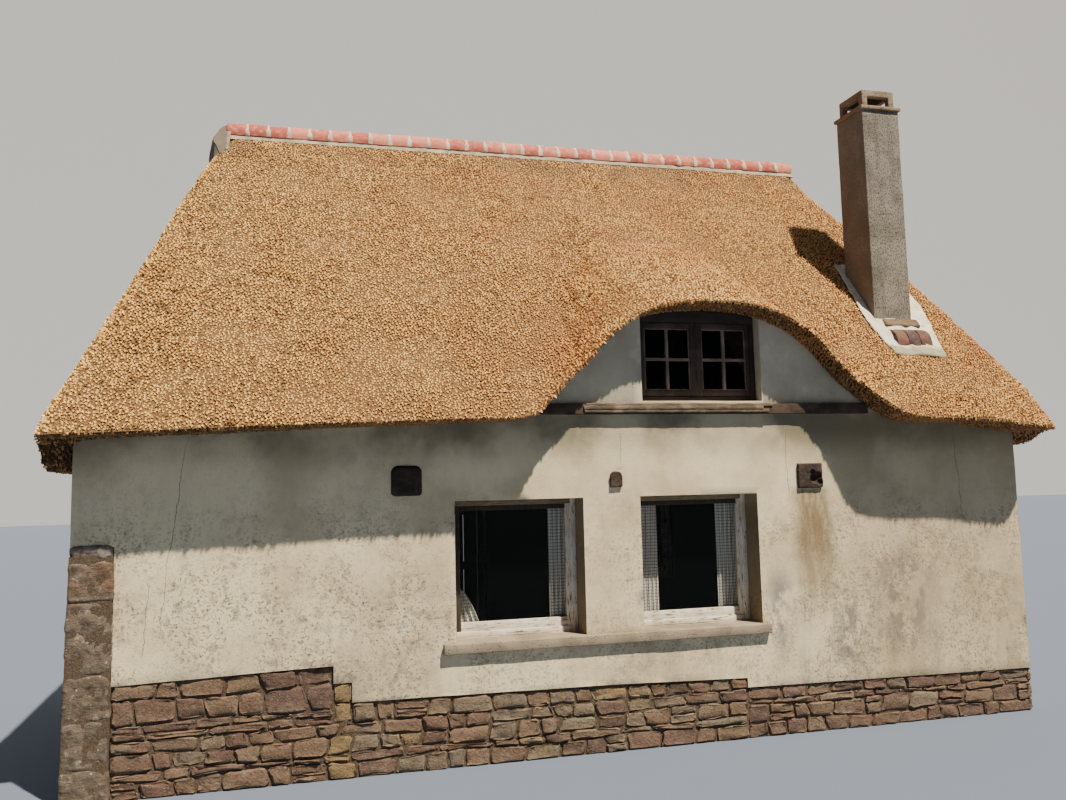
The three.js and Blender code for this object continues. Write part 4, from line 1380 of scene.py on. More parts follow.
@dataclass
class CornerQuoin(SubAssembly):
    """Large dressed stones at the left front corner, battered and rounded over at the top."""

    joints: tuple[float, ...] = (0, 235, 560, 873, 1372, 1649, 1775)
    tones: tuple[float, ...] = (0.5, 0.6, 0.48, 0.56, 0.5, 0.95)
    foot_left: float = -30.0
    top_left: float = -8.0
    right: float = 292.0
    front: float = -24.0
    back: float = 288.0
    joint: float = 2.0
    inset: float = 6.0
    voxel: float = 0.012

    def edge(self, height: float) -> float:
        """Return the place of the battered left edge at a height."""
        return self.foot_left + (self.top_left - self.foot_left) * height / self.joints[-1]

    def block(self, number: int) -> Piece:
        """Cut one stone: square it, remesh it evenly and break its face."""
        foot, top = self.joints[number], self.joints[number + 1]
        piece = box(
            f"quoin stone {number}",
            house(self.edge((foot + top) / 2) + random.uniform(0, 5),
                  self.front + random.uniform(0, 4), max(foot + 1, 14)),
            house(self.right + random.uniform(-8, 8), self.back, top - self.joint),
        )
        soften(piece, 0.012 if number < len(self.joints) - 2 else 0.05, 4)
        refine(piece, "REMESH", mode="VOXEL", voxel_size=self.voxel)
        roughen(piece, 0.11, 0.034, 4)
        tone = piece.data.attributes.new("tone", "FLOAT", "POINT")
        tone.data.foreach_set("value", [self.tones[number]] * len(piece.data.vertices))
        return piece

    def bed(self) -> None:
        """Pack the mortar that shows in the joints."""
        foot, top = self.joints[0] + 9, self.joints[-2] + 40
        piece = box(
            "corner_quoin_bed", house(self.foot_left + self.inset, self.front + self.inset, foot),
            house(self.right - self.inset, self.back - self.inset, top))
        shift = (self.edge(top) - self.foot_left) / 1000
        for corner in piece.data.vertices:
            if corner.co.z > house(0, 0, top).z - 0.001 and corner.co.x < house(0, 0, 0).x:
                corner.co.x += shift
        scored(piece, 2, 0.05)
        scored(piece, 0, 0.05)
        settle(smooth(roughen(piece, 0.05, 0.008, 3), 60.0), "quoin_stone", BED_MORTAR)

    def build(self) -> None:
        """Stack the stones on their mortar."""
        random.seed(3)
        stones = [self.block(number) for number in range(len(self.joints) - 1)]
        settle(smooth(joined("corner_quoin_stones", stones), 60.0), "quoin_stone", QUOIN,
               "corner_quoin")
        self.bed()


@dataclass
class BeamEnd:
    """The place of one tie beam and how its end has weathered."""

    node: str
    low: tuple[float, float]
    high: tuple[float, float]
    rounding: float
    arched: float = 0.0
    rot: bool = False


@dataclass
class TieBeams(SubAssembly):
    """Three tie beams whose ends stand out of the walls."""

    ends: tuple[BeamEnd, ...] = (
        BeamEnd("tie_beam_left", (2250, 2055), (2490, 2290), 0.034, 0.06),
        BeamEnd("tie_beam_middle", (4030, 2085), (4135, 2213), 0.006, 0.045),
        BeamEnd("tie_beam_right", (5745, 2040), (5980, 2250), 0.008, rot=True),
    )
    front: float = -25.0
    back: float = 4349.0
    end_depth: float = 70.0
    pointing_depth: float = 34.0
    pointing_reach: float = 10.0
    heart: Triple = (158.0, -4.0, 82.0)
    bites: tuple[tuple[Triple, float], ...] = (
        ((0.0, 0.0, 0.0), 0.052), ((0.028, 0.0, 0.02), 0.04), ((-0.02, 0.004, 0.055), 0.026),
        ((0.04, 0.0, -0.03), 0.034),
    )

    def shaped(self, name: str, end: BeamEnd, near: float, far: float, grow: float) -> Piece:
        """Saw a length of a beam and round its upper and other edges.

        Args:
            name: The piece's name.
            end: The beam's section.
            near: The front of the length, in millimetres.
            far: Its back.
            grow: How much larger than the beam it is on each side, in millimetres.

        Returns:
            The rounded length.
        """
        (left, foot), (right, top) = end.low, end.high
        piece = box(
            name, house(left - grow, near, foot - grow), house(right + grow, far, top + grow))
        if end.arched:
            height = house(0, 0, top + grow).z - 0.001
            with editing(piece):
                bpy.ops.mesh.select_mode(type="EDGE")
                mesh = bmesh.from_edit_mesh(piece.data)
                for edge in mesh.edges:
                    one, two = (corner.co for corner in edge.verts)
                    edge.select_set(min(one.z, two.z) > height and abs(one.y - two.y) > 0.001)
                bmesh.update_edit_mesh(piece.data)
                bpy.ops.mesh.bevel(offset=end.arched, segments=5, affect="EDGES")
        return soften(piece, end.rounding, 4)

    def pointing(self, end: BeamEnd) -> Piece:
        """Trowel render into the corners between a rounded beam and its square hole."""
        (left, foot), (right, top) = end.low, end.high
        reach = self.pointing_reach
        piece = box(f"{end.node}_pointing", house(left - reach, -1.0, foot - reach),
                    house(right + reach, self.pointing_depth, top + reach))
        hole = self.shaped("hole", end, self.front - 60, self.pointing_depth + 90, 1.0)
        refine(piece, "BOOLEAN", object=hole, operation="DIFFERENCE", solver="EXACT")
        bpy.data.objects.remove(hole)
        return settle(smooth(piece, 35.0), "render", RENDER)

    def rotten(self, piece: Piece, end: BeamEnd) -> None:
        """Gouge the soft heart out of a beam's end."""
        hollow = house(end.low[0] + self.heart[0], self.front + self.heart[1],
                       end.low[1] + self.heart[2])
        for shift, size in self.bites:
            bite = primitive("bite", bpy.ops.mesh.primitive_uv_sphere_add, segments=16,
                             ring_count=10, radius=size, location=hollow + Vector(shift))
            refine(piece, "BOOLEAN", object=bite, operation="DIFFERENCE", solver="EXACT")
            bpy.data.objects.remove(bite)

    def beam(self, end: BeamEnd) -> Piece:
        """Model one beam: two rough ends and the plain run between them."""
        (left, foot), (right, top) = end.low, end.high
        parts = []
        for near, far in ((self.front, self.front + self.end_depth),
                          (self.back - self.end_depth, self.back)):
            part = self.shaped("beam end", end, near, far, 0.0)
            refine(part, "REMESH", mode="VOXEL", voxel_size=0.006)
            roughen(part, 0.045, 0.012, 3)
            if end.rot and near == self.front:
                self.rotten(part, end)
            parts.append(part)
        run = box("beam run", house(left + 4, self.front + self.end_depth, foot + 4),
                  house(right - 4, self.back - self.end_depth, top - 4))
        parts.append(soften(run, 0.008, 2))
        piece = joined(f"{end.node}_weathered", parts)
        return settle(smooth(piece, 40.0), "old_timber", BEAM_END, end.node)

    def build(self) -> None:
        """Model the three beams."""
        for end in self.ends:
            self.beam(end)
            if end.arched:
                self.pointing(end)


@dataclass
class Joinery:
    """Builds bars, rails and stiles of a window or door from bevelled sticks."""

    upright: Finish
    across: Finish
    arris: float = 0.0035

    def stick(self, low: Vector, high: Vector) -> Piece:
        """Plane one member, with its grain along its longer side."""
        piece = soften(box("stick", low, high), self.arris, 2)
        size = high - low
        finish = self.upright if size.z > size.x else self.across
        piece.data.materials.append(finish.material())
        return piece

    def ring(
        self, low: Vector, high: Vector, left: float, right: float, head: float, foot: float
    ) -> list[Piece]:
        """Frame a rectangle with two uprights and two rails between them.

        Args:
            low: The frame's lowest corner.
            high: Its highest corner.
            left: The left upright's width.
            right: The right upright's width.
            head: The top rail's height.
            foot: The bottom rail's height.

        Returns:
            The four sticks.
        """
        return [
            self.stick(low, Vector((low.x + left, high.y, high.z))),
            self.stick(Vector((high.x - right, low.y, low.z)), high),
            self.stick(Vector((low.x + left + STICK_GAP, low.y + 0.001, high.z - head)),
                       Vector((high.x - right - STICK_GAP, high.y, high.z))),
            self.stick(Vector((low.x + left + STICK_GAP, low.y - 0.001, low.z)),
                       Vector((high.x - right - STICK_GAP, high.y, low.z + foot))),
        ]


@dataclass
class GroundWindow:
    """One of the three equal windows of the ground floor."""

    side: str
    left: float
    right: float
    face: float
    outwards: float = -1.0


@dataclass
class GroundWindows(SubAssembly):
    """White painted sashes in their frames, set back in the wall."""

    windows: tuple[GroundWindow, ...] = (
        GroundWindow("left", 2742, 3799, 220), GroundWindow("right", 4292, 5353, 220),
        GroundWindow("back", 5180, 6240, 4104, 1.0))
    foot: float = 924.0
    top: float = 2006.0
    frame_width: float = 45.0
    frame_depth: float = 80.0
    sash_width: float = 40.0
    sash_depth: float = 45.0
    sash_rail: float = 70.0
    sash_back: float = 15.0

    def window(self, window: GroundWindow) -> None:
        """Join one window's frame and sash."""
        tool = Joinery(WHITE_UPRIGHT, WHITE_ACROSS)
        inwards = -window.outwards
        near = window.face
        spans = []
        for start, depth in ((0.0, self.frame_depth), (self.sash_back, self.sash_depth)):
            first = near + inwards * start
            second = first + inwards * depth
            spans.append((min(first, second), max(first, second)))
        (frame_front, frame_back), (sash_front, sash_back) = spans
        sticks = tool.ring(
            house(window.left + 1, frame_front, self.foot + 1),
            house(window.right - 1, frame_back, self.top - 1), *(self.frame_width / 1000,) * 4)
        sticks[2].data.materials[0] = BARE_HEAD.material()
        inner = self.frame_width + 0.6
        low = house(window.left + inner, sash_front, self.foot + inner)
        high = house(window.right - inner, sash_back, self.top - inner)
        width = self.sash_width / 1000
        sash = tool.ring(low, high, width, width, width, self.sash_rail / 1000)
        # painted shade: the sash's left stile and head, which lie in the frame's shade, are painted
        # dark
        for shaded_member in (sash[0], sash[2]):
            shaded_member.data.materials[0] = SHADED_SASH.material()
        sticks += sash
        piece = joined(f"{window.side}_window_sash", sticks)
        settle(smooth(piece, 40.0), "white_joinery", None, f"{window.side}_window_frame")

    def build(self) -> None:
        """Join the three windows."""
        for window in self.windows:
            self.window(window)

    def dress(self) -> None:
        """Glaze the windows."""
        for window in self.windows:
            dress_node(f"{window.side}_window_glass", GLASS if window.outwards < 0 else DARKENED_BACK_GLASS)


@dataclass
class Curtain:
    """One net curtain: its place on the rod, its hem and how far its top is drawn aside."""

    name: str
    left: float
    right: float
    hem: float
    folds: int
    draw: float = 0.0


@dataclass
class NetCurtains(SubAssembly):
    """Checked net gathered on brass rods behind the panes."""

    curtains: tuple[Curtain, ...] = (
        Curtain("left_window_curtain_left", 2760, 3000, 1010, 5, 0.86),
        Curtain("left_window_curtain_right", 3590, 3780, 960, 5),
        Curtain("right_window_curtain_left", 4310, 4560, 960, 6),
        Curtain("right_window_curtain_right", 5110, 5335, 960, 6),
    )
    middle: float = 330.0
    swing: float = 10.5
    top: float = 1956.5
    rows: int = 40
    columns_a_fold: int = 12

    def hang(self, curtain: Curtain) -> Piece:
        """Shape one curtain in soft folds that deepen towards the hem.

        Args:
            curtain: The curtain to hang.

        Returns:
            The curtain.
        """
        columns = curtain.folds * self.columns_a_fold
        draw = random.Random(curtain.name)
        starts = [draw.uniform(0, math.tau) for _ in range(3)]
        corners, cloth, faces = [], [], []
        for row in range(self.rows + 1):
            drop = row / self.rows
            width = curtain.right - curtain.left
            if curtain.draw:
                spread_out = math.sqrt(max(0.0, (drop - 0.68) / 0.32))
                width *= 1 - curtain.draw * (1 - spread_out)
            run, last = 0.0, None
            for column in range(columns + 1):
                share = column / columns
                sway = 0.16 * math.sin(3.1 * share + starts[0]) * drop
                wave = math.tau * curtain.folds * (share + sway / curtain.folds)
                depth = self.swing * (0.55 + 0.45 * drop) * math.sin(wave)
                depth += 1.6 * math.sin(2.3 * wave + starts[1] + 2 * drop)
                spread = 5 * math.sin(2 * wave) * drop * min(1, 4 * share, 4 * (1 - share))
                lift = 4 * drop * math.sin(wave + starts[2])
                point = house(curtain.left + share * width + spread,
                              self.middle + max(-11.5, min(11.5, depth)),
                              self.top - (self.top - curtain.hem - 4) * drop - lift * drop)
                run += (point - last).length if last else 0.0
                last = point
                corners.append(point)
                cloth.append((run, drop * (self.top - curtain.hem) / 1000))
        for row in range(self.rows):
            for column in range(columns):
                start = row * (columns + 1) + column
                faces.append((start, start + columns + 1, start + columns + 2, start + 1))
        mesh = bpy.data.meshes.new(curtain.name)
        mesh.from_pydata(corners, [], faces)
        layer = mesh.uv_layers.new(name="cloth")
        layer.data.foreach_set("uv", [
            value for loop in mesh.loops for value in cloth[loop.vertex_index]])
        piece = placed(f"{curtain.name}_net", mesh)
        settle(smooth(piece, 180.0), "net", NET, curtain.name)
        return piece

    def build(self) -> None:
        """Hang the four curtains."""
        for curtain in self.curtains:
            self.hang(curtain)

    def dress(self) -> None:
        """Give the rods their metal."""
        dress_node("left_window_curtain_rod", BRASS)
        dress_node("right_window_curtain_rod", BRASS)


@dataclass
class WindowSill(SubAssembly):
    """One long cast sill with rounded arrises and chipped edges."""

    def build(self) -> None:
        """Cast the sill."""
        piece = cad_copy("front_window_sill", "front_window_sill_cast")
        soften(piece, 0.007, 2)
        scored(piece, 0, 0.05)
        roughen(piece, 0.07, 0.006, 3)
        settle(smooth(piece, 35.0), "concrete", SILL, "front_window_sill")


@dataclass
class Dormer(SubAssembly):
    """The eyebrow dormer's wall, lintel, board and two glazed leaves."""

    layers: tuple[tuple[float, ...], ...] = (
        (0.0, 0.36, 0.004, 0.962, 0.004), (0.33, 0.72, 0.0, 0.93, 0.0),
        (0.68, 1.0, 0.012, 0.985, 0.006),
    )
    head_foot: float = 3476.0
    side: float = 0.044
    foot: float = 0.047
    stile: float = 0.036
    meeting_stile: float = 0.057
    top_rail: float = 0.05
    bottom_rail: float = 0.056
    bar: float = 0.026
    bead: float = 0.009
    cross_bar: float = 3158.5
    bar_gap: float = 0.0005
    bead_gap: float = 0.0003

    def wall(self) -> None:
        """Float the dormer's wall."""
        piece = cad_copy("dormer_wall", "dormer_wall_render")
        soften(piece, 0.006, 2, 40.0)
        scored(piece, 0, 0.12)
        roughen(piece, 0.35, 0.006)
        settle(smooth(piece, 35.0), "render", DORMER_RENDER, "dormer_wall")

    def lintel(self) -> None:
        """Hew the lintel: wane on its edges and hollows along its face."""
        piece = cad_copy("dormer_beam", "dormer_beam_hewn")
        soften(piece, 0.012, 3)
        scored(piece, 0, 0.06)
        roughen(piece, 0.16, 0.014, 3)
        settle(smooth(piece, 40.0), "old_timber", LINTEL, "dormer_beam")

    def board(self) -> None:
        """Weather the board: split ends, a cupped face and a ragged right end."""
        low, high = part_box("dormer_board")
        tall = high.z - low.z
        parts = []
        for foot, top, start, end, proud in self.layers:
            part = box(
                "board",
                Vector((low.x + start * (high.x - low.x), low.y + proud, low.z + foot * tall)),
                Vector((low.x + end * (high.x - low.x), high.y - 0.001, low.z + top * tall)))
            soften(part, 0.004, 2)
            scored(part, 0, 0.035)
            roughen(part, 0.06, 0.009, 4)
            parts.append(part)
        settle(smooth(joined("dormer_board_weathered", parts), 40.0), "board", BOARD,
               "dormer_board")

    def frame(self) -> None:
        """Join the window's frame, with its head cut to the thatch as in the CAD model."""
        tool = Joinery(BROWN_UPRIGHT, BROWN_ACROSS)
        low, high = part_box("dormer_window_frame")
        top = house(0, 0, self.head_foot).z
        head = cad_copy("dormer_window_frame", "head")
        with editing(head):
            cut_across(2, top, use_fill=True, clear_inner=True)
        soften(head, 0.003, 2)
        head.data.materials.append(BROWN_ACROSS.material())
        sticks = [head, tool.stick(low, Vector((low.x + self.side, high.y, top - STICK_GAP))),
                  tool.stick(Vector((high.x - self.side, low.y, low.z)),
                             Vector((high.x, high.y, top - STICK_GAP))),
                  tool.stick(Vector((low.x + self.side + STICK_GAP, low.y - 0.002, low.z)),
                             Vector((high.x - self.side - STICK_GAP, high.y, low.z + self.foot)))]
        settle(smooth(joined("dormer_window_frame_stained", sticks), 40.0), "brown_joinery",
               None, "dormer_window_frame")

    def leaf(self, side: str, left: float, right: float) -> None:
        """Join one leaf and its glazing bars.

        Args:
            side: Which leaf it is.
            left: The left stile's width.
            right: The right stile's width.
        """
        leaf, bars = Joinery(STILE_UPRIGHT, STILE_ACROSS), Joinery(BAR_UPRIGHT, BAR_ACROSS)
        low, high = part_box(f"dormer_casement_{side}")
        pane_low, pane_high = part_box(f"dormer_glass_{side}")
        sticks = leaf.ring(low, high, left, right, self.top_rail, self.bottom_rail)
        middle = (low.x + left + high.x - right) / 2
        front, glass = low.y + 0.001, pane_low.y - self.bead_gap
        cross = house(0, 0, self.cross_bar).z
        half = self.bar / 2
        foot, top = low.z + self.bottom_rail, high.z - self.top_rail
        for start, end in ((foot, cross - half), (cross + half, top)):
            sticks.append(bars.stick(Vector((middle - half, front, start + self.bar_gap)),
                                     Vector((middle + half, glass, end - self.bar_gap))))
        sticks.append(bars.stick(Vector((low.x + left + self.bar_gap, front - self.bar_gap,
                                         cross - half)),
                                 Vector((high.x - right - self.bar_gap, glass, cross + half))))
        sticks.append(bars.stick(Vector((middle - half, pane_high.y + self.bead_gap, foot)),
                                 Vector((middle + half, pane_high.y + 0.01, top))))
        sticks += bars.ring(
            Vector((low.x + left + self.bead_gap, front + 0.004, foot + self.bead_gap)),
            Vector((high.x - right - self.bead_gap, glass, top - self.bead_gap)),
            *(self.bead,) * 4)
        settle(smooth(joined(f"dormer_casement_{side}_barred", sticks), 40.0),
               "brown_joinery", None, f"dormer_casement_{side}")

    def build(self) -> None:
        """Model the dormer."""
        self.wall()
        self.lintel()
        self.board()
        self.frame()
        self.leaf("left", self.stile, self.meeting_stile)
        self.leaf("right", self.meeting_stile, self.stile)

    def dress(self) -> None:
        """Glaze the leaves."""
        dress_node("dormer_glass_left", GLASS)
        dress_node("dormer_glass_right", GLASS)


@dataclass
class BackDoor(SubAssembly):
    """A plank door on three ledges, with strap hinges and a ring latch."""

    side: float = 0.06
    planks: int = 5
    groove: float = 0.006
    plank_depth: float = 0.024
    ledges: tuple[float, ...] = (0.1, 0.5, 0.88)
    hinges: tuple[float, ...] = (0.13, 0.9)

    def build(self) -> None:
        """Join the frame, the planks, the ledges and the ironwork."""
        tool = Joinery(BROWN_UPRIGHT, BROWN_ACROSS, 0.004)
        low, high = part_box("back_door_frame")
        sticks = [
            tool.stick(low, Vector((low.x + self.side, high.y, high.z))),
            tool.stick(Vector((high.x - self.side, low.y, low.z)), high),
            tool.stick(Vector((low.x + self.side + STICK_GAP, low.y, high.z - self.side)),
                       Vector((high.x - self.side - STICK_GAP, high.y, high.z))),
        ]
        piece = joined("back_door_frame_stained", sticks)
        settle(smooth(piece, 40.0), "brown_joinery", None, "back_door_frame")
        low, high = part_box("back_door")
        wide = (high.x - low.x) / self.planks
        sticks = [
            tool.stick(
                Vector((low.x + wide * n + self.groove / 2, high.y - self.plank_depth, low.z)),
                Vector((low.x + wide * (n + 1) - self.groove / 2, high.y, high.z)))
            for n in range(self.planks)
        ]
        for share in self.ledges:
            foot = low.z + share * (high.z - low.z)
            sticks.append(tool.stick(
                Vector((low.x + 0.02, low.y, foot)),
                Vector((high.x - 0.02, high.y - self.plank_depth - STICK_GAP, foot + 0.1))))
        piece = joined("back_door_planked", sticks)
        settle(smooth(piece, 40.0), "brown_joinery", None, "back_door")
        straps = []
        for share in self.hinges:
            foot = low.z + share * (high.z - low.z)
            strap = box("strap", Vector((low.x + 0.01, high.y + 0.0003, foot)),
                        Vector((low.x + 0.62 * (high.x - low.x), high.y + 0.006, foot + 0.045)))
            straps.append(soften(strap, 0.0015, 2))
        straps.append(primitive(
            "ring", bpy.ops.mesh.primitive_torus_add, major_radius=0.034, minor_radius=0.006,
            major_segments=32, minor_segments=10, rotation=(math.pi / 2, 0, 0),
            location=(high.x - 0.08, high.y + 0.012, low.z + 0.95)))
        plate = box("plate", Vector((high.x - 0.105, high.y + 0.0003, low.z + 0.93)),
                    Vector((high.x - 0.055, high.y + 0.007, low.z + 1.06)))
        straps.append(soften(plate, 0.002, 2))
        settle(smooth(joined("back_door_ironwork", straps), 40.0), "brown_joinery", IRON)


@dataclass
class Inside(SubAssembly):
    """The floors and the roof timbers, which only show from within."""

    def build(self) -> None:
        """Leave the CAD shapes as they are."""

    def dress(self) -> None:
        """Give the floors and timbers their finishes."""
        dress_node("ground_floor", FLOOR_LIME)
        dress_node("loft_floor", SOFTWOOD)
        dress_node("roof_frame", SOFTWOOD)


@dataclass
class Coat:
    """One coat of thatch: its CAD node, how close its reeds stand and where it is parted."""

    node: str
    spacing: float
    parts: tuple[float, ...] = (-9.0, 9.0)


@dataclass
class ThatchRoof(SubAssembly):
    """Six straw coats covered with reed ends that point out and down the slope."""

    stub_sides: int = 3
    stub_radius: float = 0.0112
    stub_length: float = 0.034
    root: float = 0.02
    outwards: float = 1.6
    scatter: float = 0.45
    swell: float = 0.014
    clear: float = 0.012
    coats: tuple[Coat, ...] = (
        Coat("thatch_front_left", 0.0195, (-9.0, -2.0, 9.0)),
        Coat("thatch_eyebrow", 0.0195, (-9.0, 0.75, 9.0)),
        Coat("thatch_front_right", 0.0195), Coat("thatch_left_hip", 0.0215),
        Coat("thatch_right_hip", 0.0215), Coat("thatch_back", 0.0245, (-9.0, 0.0, 9.0)),
    )

    def stub(self) -> Piece:
        """Model one cluster of reed ends: a small tapered stick, open at its root."""
        piece = primitive(
            "reed stub", bpy.ops.mesh.primitive_cylinder_add, vertices=self.stub_sides,
            radius=self.stub_radius, depth=self.stub_length, end_fill_type="NGON",
            location=(0, 0, self.stub_length / 2 - self.root))
        with editing(piece):
            pick_faces(piece, lambda centre, normal: normal.z < -0.5)
            bpy.ops.mesh.delete(type="FACE")
            pick_faces(piece, lambda centre, normal: normal.z > 0.5)
            bpy.ops.transform.resize(value=(0.9, 0.9, 0.9))
        return piece

    def emitter(self, coat: str, others: BVHTree, low_x: float, high_x: float) -> Piece:
        """Copy a coat's weather side, the part that the reed ends grow from.

        Args:
            coat: The CAD coat's node.
            others: All coats, which tell the faces that meet another coat.
            low_x: The least X to keep.
            high_x: The greatest X to keep.

        Returns:
            The open surface.
        """
        piece = cad_copy(coat, f"{coat} weather side", whole_faces=False)
        with editing(piece):
            for axis, place in ((0, HALF_LENGTH), (0, -HALF_LENGTH), (1, HALF_DEPTH),
                                (1, -HALF_DEPTH), (0, low_x), (0, high_x)):
                cut_across(axis, place)

            def hidden(centre: Vector, normal: Vector) -> bool:
                """Say whether a face is inside, meets another coat or is out of range."""
                over_house = abs(centre.x) < HALF_LENGTH and abs(centre.y) < HALF_DEPTH
                if normal.z < 0.02 and over_house:
                    return True
                if not low_x < centre.x < high_x:
                    return True
                hit = others.ray_cast(centre + normal * 0.0002, normal, 0.004)
                return hit[0] is not None

            pick_faces(piece, hidden)
            bpy.ops.mesh.delete(type="FACE")
        return piece

    def reed_tree(self, stub: Piece, blockers: Piece, spacing: float) -> Tree:
        """Wire the geometry nodes that plant the reed ends.

        Args:
            stub: The shape of one reed end.
            blockers: What the reed ends keep clear of.
            spacing: The least distance between two reed ends.

        Returns:
            The node tree.
        """
        tree = bpy.data.node_groups.new("planted reed ends", "GeometryNodeTree")
        for way in ("INPUT", "OUTPUT"):
            tree.interface.new_socket("Geometry", in_out=way, socket_type="NodeSocketGeometry")
        wire = Wiring(tree)
        start = wire.add("NodeGroupInput")
        points = wire.add(
            "GeometryNodeDistributePointsOnFaces",
            inputs={"Mesh": start[0], "Distance Min": spacing, "Density Max": 6500.0, "Seed": 11},
            distribute_method="POISSON")
        blocker = wire.add("GeometryNodeObjectInfo", inputs={"Object": blockers})
        near = wire.add("GeometryNodeProximity", blocker["Geometry"], target_element="FACES")
        covered = wire.add(
            "FunctionNodeCompare", near["Distance"], self.clear, operation="LESS_THAN")
        open_points = wire.add(
            "GeometryNodeDeleteGeometry",
            inputs={"Geometry": points["Points"], "Selection": covered[0]}, domain="POINT")
        normal = points["Normal"]
        up = wire.add("ShaderNodeSeparateXYZ", normal)[2]
        along = wire.add("ShaderNodeVectorMath", normal, inputs={"Scale": up}, operation="SCALE")
        slope = wire.add("ShaderNodeVectorMath", along[0], (0.0, 0.0, -1.0), operation="ADD")
        out = wire.add(
            "ShaderNodeVectorMath", normal, inputs={"Scale": self.outwards}, operation="SCALE")
        lean = wire.add("ShaderNodeVectorMath", slope[0], out[0], operation="ADD")
        stray = wire.add(
            "FunctionNodeRandomValue", (-self.scatter,) * 3, (self.scatter,) * 3,
            inputs={"Seed": 5}, data_type="FLOAT_VECTOR")
        axis = wire.add("ShaderNodeVectorMath", lean[0], stray[0], operation="ADD")
        roll = wire.add("FunctionNodeRandomValue", (0.0, 0.0, 0.0), (0.0, 0.0, math.tau),
                        inputs={"Seed": 6}, data_type="FLOAT_VECTOR")
        turn = wire.add("FunctionNodeAlignRotationToVector",
                        inputs={"Rotation": roll[0], "Vector": axis[0]}, axis="Z")
        swell = wire.add("ShaderNodeTexNoise", inputs={"Scale": 2.2, "Detail": 3.0})
        height = wire.add("ShaderNodeMath", swell[0], 0.5, operation="SUBTRACT")
        rise = wire.add("ShaderNodeMath", height[0], self.swell * 2, operation="MULTIPLY")
        offset = wire.add(
            "ShaderNodeVectorMath", normal, inputs={"Scale": rise[0]}, operation="SCALE")
        # painted shade: reed ends that face down get darker tones, standing in for the shade under
        # the eave
        bleached = wire.add("ShaderNodeMapRange", up, -0.05, 0.35, 0.0, 1.0)
        kept = wire.add(
            "GeometryNodeStoreNamedAttribute",
            inputs={"Geometry": open_points[0], "Name": "bleached", "Value": bleached[0]},
            data_type="FLOAT", domain="POINT")
        raised = wire.add(
            "GeometryNodeSetPosition", inputs={"Geometry": kept[0], "Offset": offset[0]})
        shape = wire.add("GeometryNodeObjectInfo", inputs={"Object": stub})
        size = wire.add("FunctionNodeRandomValue", (0.7, 0.7, 0.75), (1.3, 1.3, 1.2),
                        inputs={"Seed": 8}, data_type="FLOAT_VECTOR")
        planted = wire.add("GeometryNodeInstanceOnPoints",
                           inputs={"Points": raised[0], "Instance": shape["Geometry"],
                                   "Rotation": turn[0], "Scale": size[0]})
        tone = wire.add(
            "FunctionNodeRandomValue", inputs={2: 0.0, 3: 1.0, "Seed": 9}, data_type="FLOAT")
        carried = wire.add(
            "GeometryNodeInputNamedAttribute", inputs={"Name": "bleached"}, data_type="FLOAT")
        shade = wire.add("ShaderNodeMath", tone[1], carried[0], operation="MULTIPLY")
        toned = wire.add(
            "GeometryNodeStoreNamedAttribute",
            inputs={"Geometry": planted[0], "Name": "tone", "Value": shade[0]}, data_type="FLOAT",
            domain="INSTANCE")
        real = wire.add("GeometryNodeRealizeInstances", toned[0])
        wire.add("NodeGroupOutput", real[0])
        return tree

    def build(self) -> None:
        """Plant the reed ends on every coat."""
        whole = bmesh.new()
        for coat in self.coats:
            whole.from_mesh(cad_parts[coat.node].data)
        others = BVHTree.FromBMesh(whole)
        whole.free()
        stub = self.stub()
        blockers = joined("blockers", [
            cad_copy(node, f"{node} blocker")
            for node in ("ridge_mortar", "chimney_flashing", "chimney_stack")])
        for coat in self.coats:
            tree = self.reed_tree(stub, blockers, coat.spacing)
            for number, (low, high) in enumerate(zip(coat.parts, coat.parts[1:]), 1):
                piece = self.emitter(coat.node, others, low, high)
                take(piece)
                modifier = piece.modifiers.new("reeds", "NODES")
                modifier.node_group = tree
                bpy.ops.object.modifier_apply(modifier=modifier.name)
                ending = f"_{number}" if len(coat.parts) > 2 else ""
                settle(named(piece, f"{coat.node}_reed_ends{ending}"), "thatch", REED)
        bpy.data.objects.remove(stub)
        bpy.data.objects.remove(blockers)

    def dress(self) -> None:
        """Show packed straw between the reed ends."""
        for coat in self.coats:
            dress_node(coat.node, STRAW)


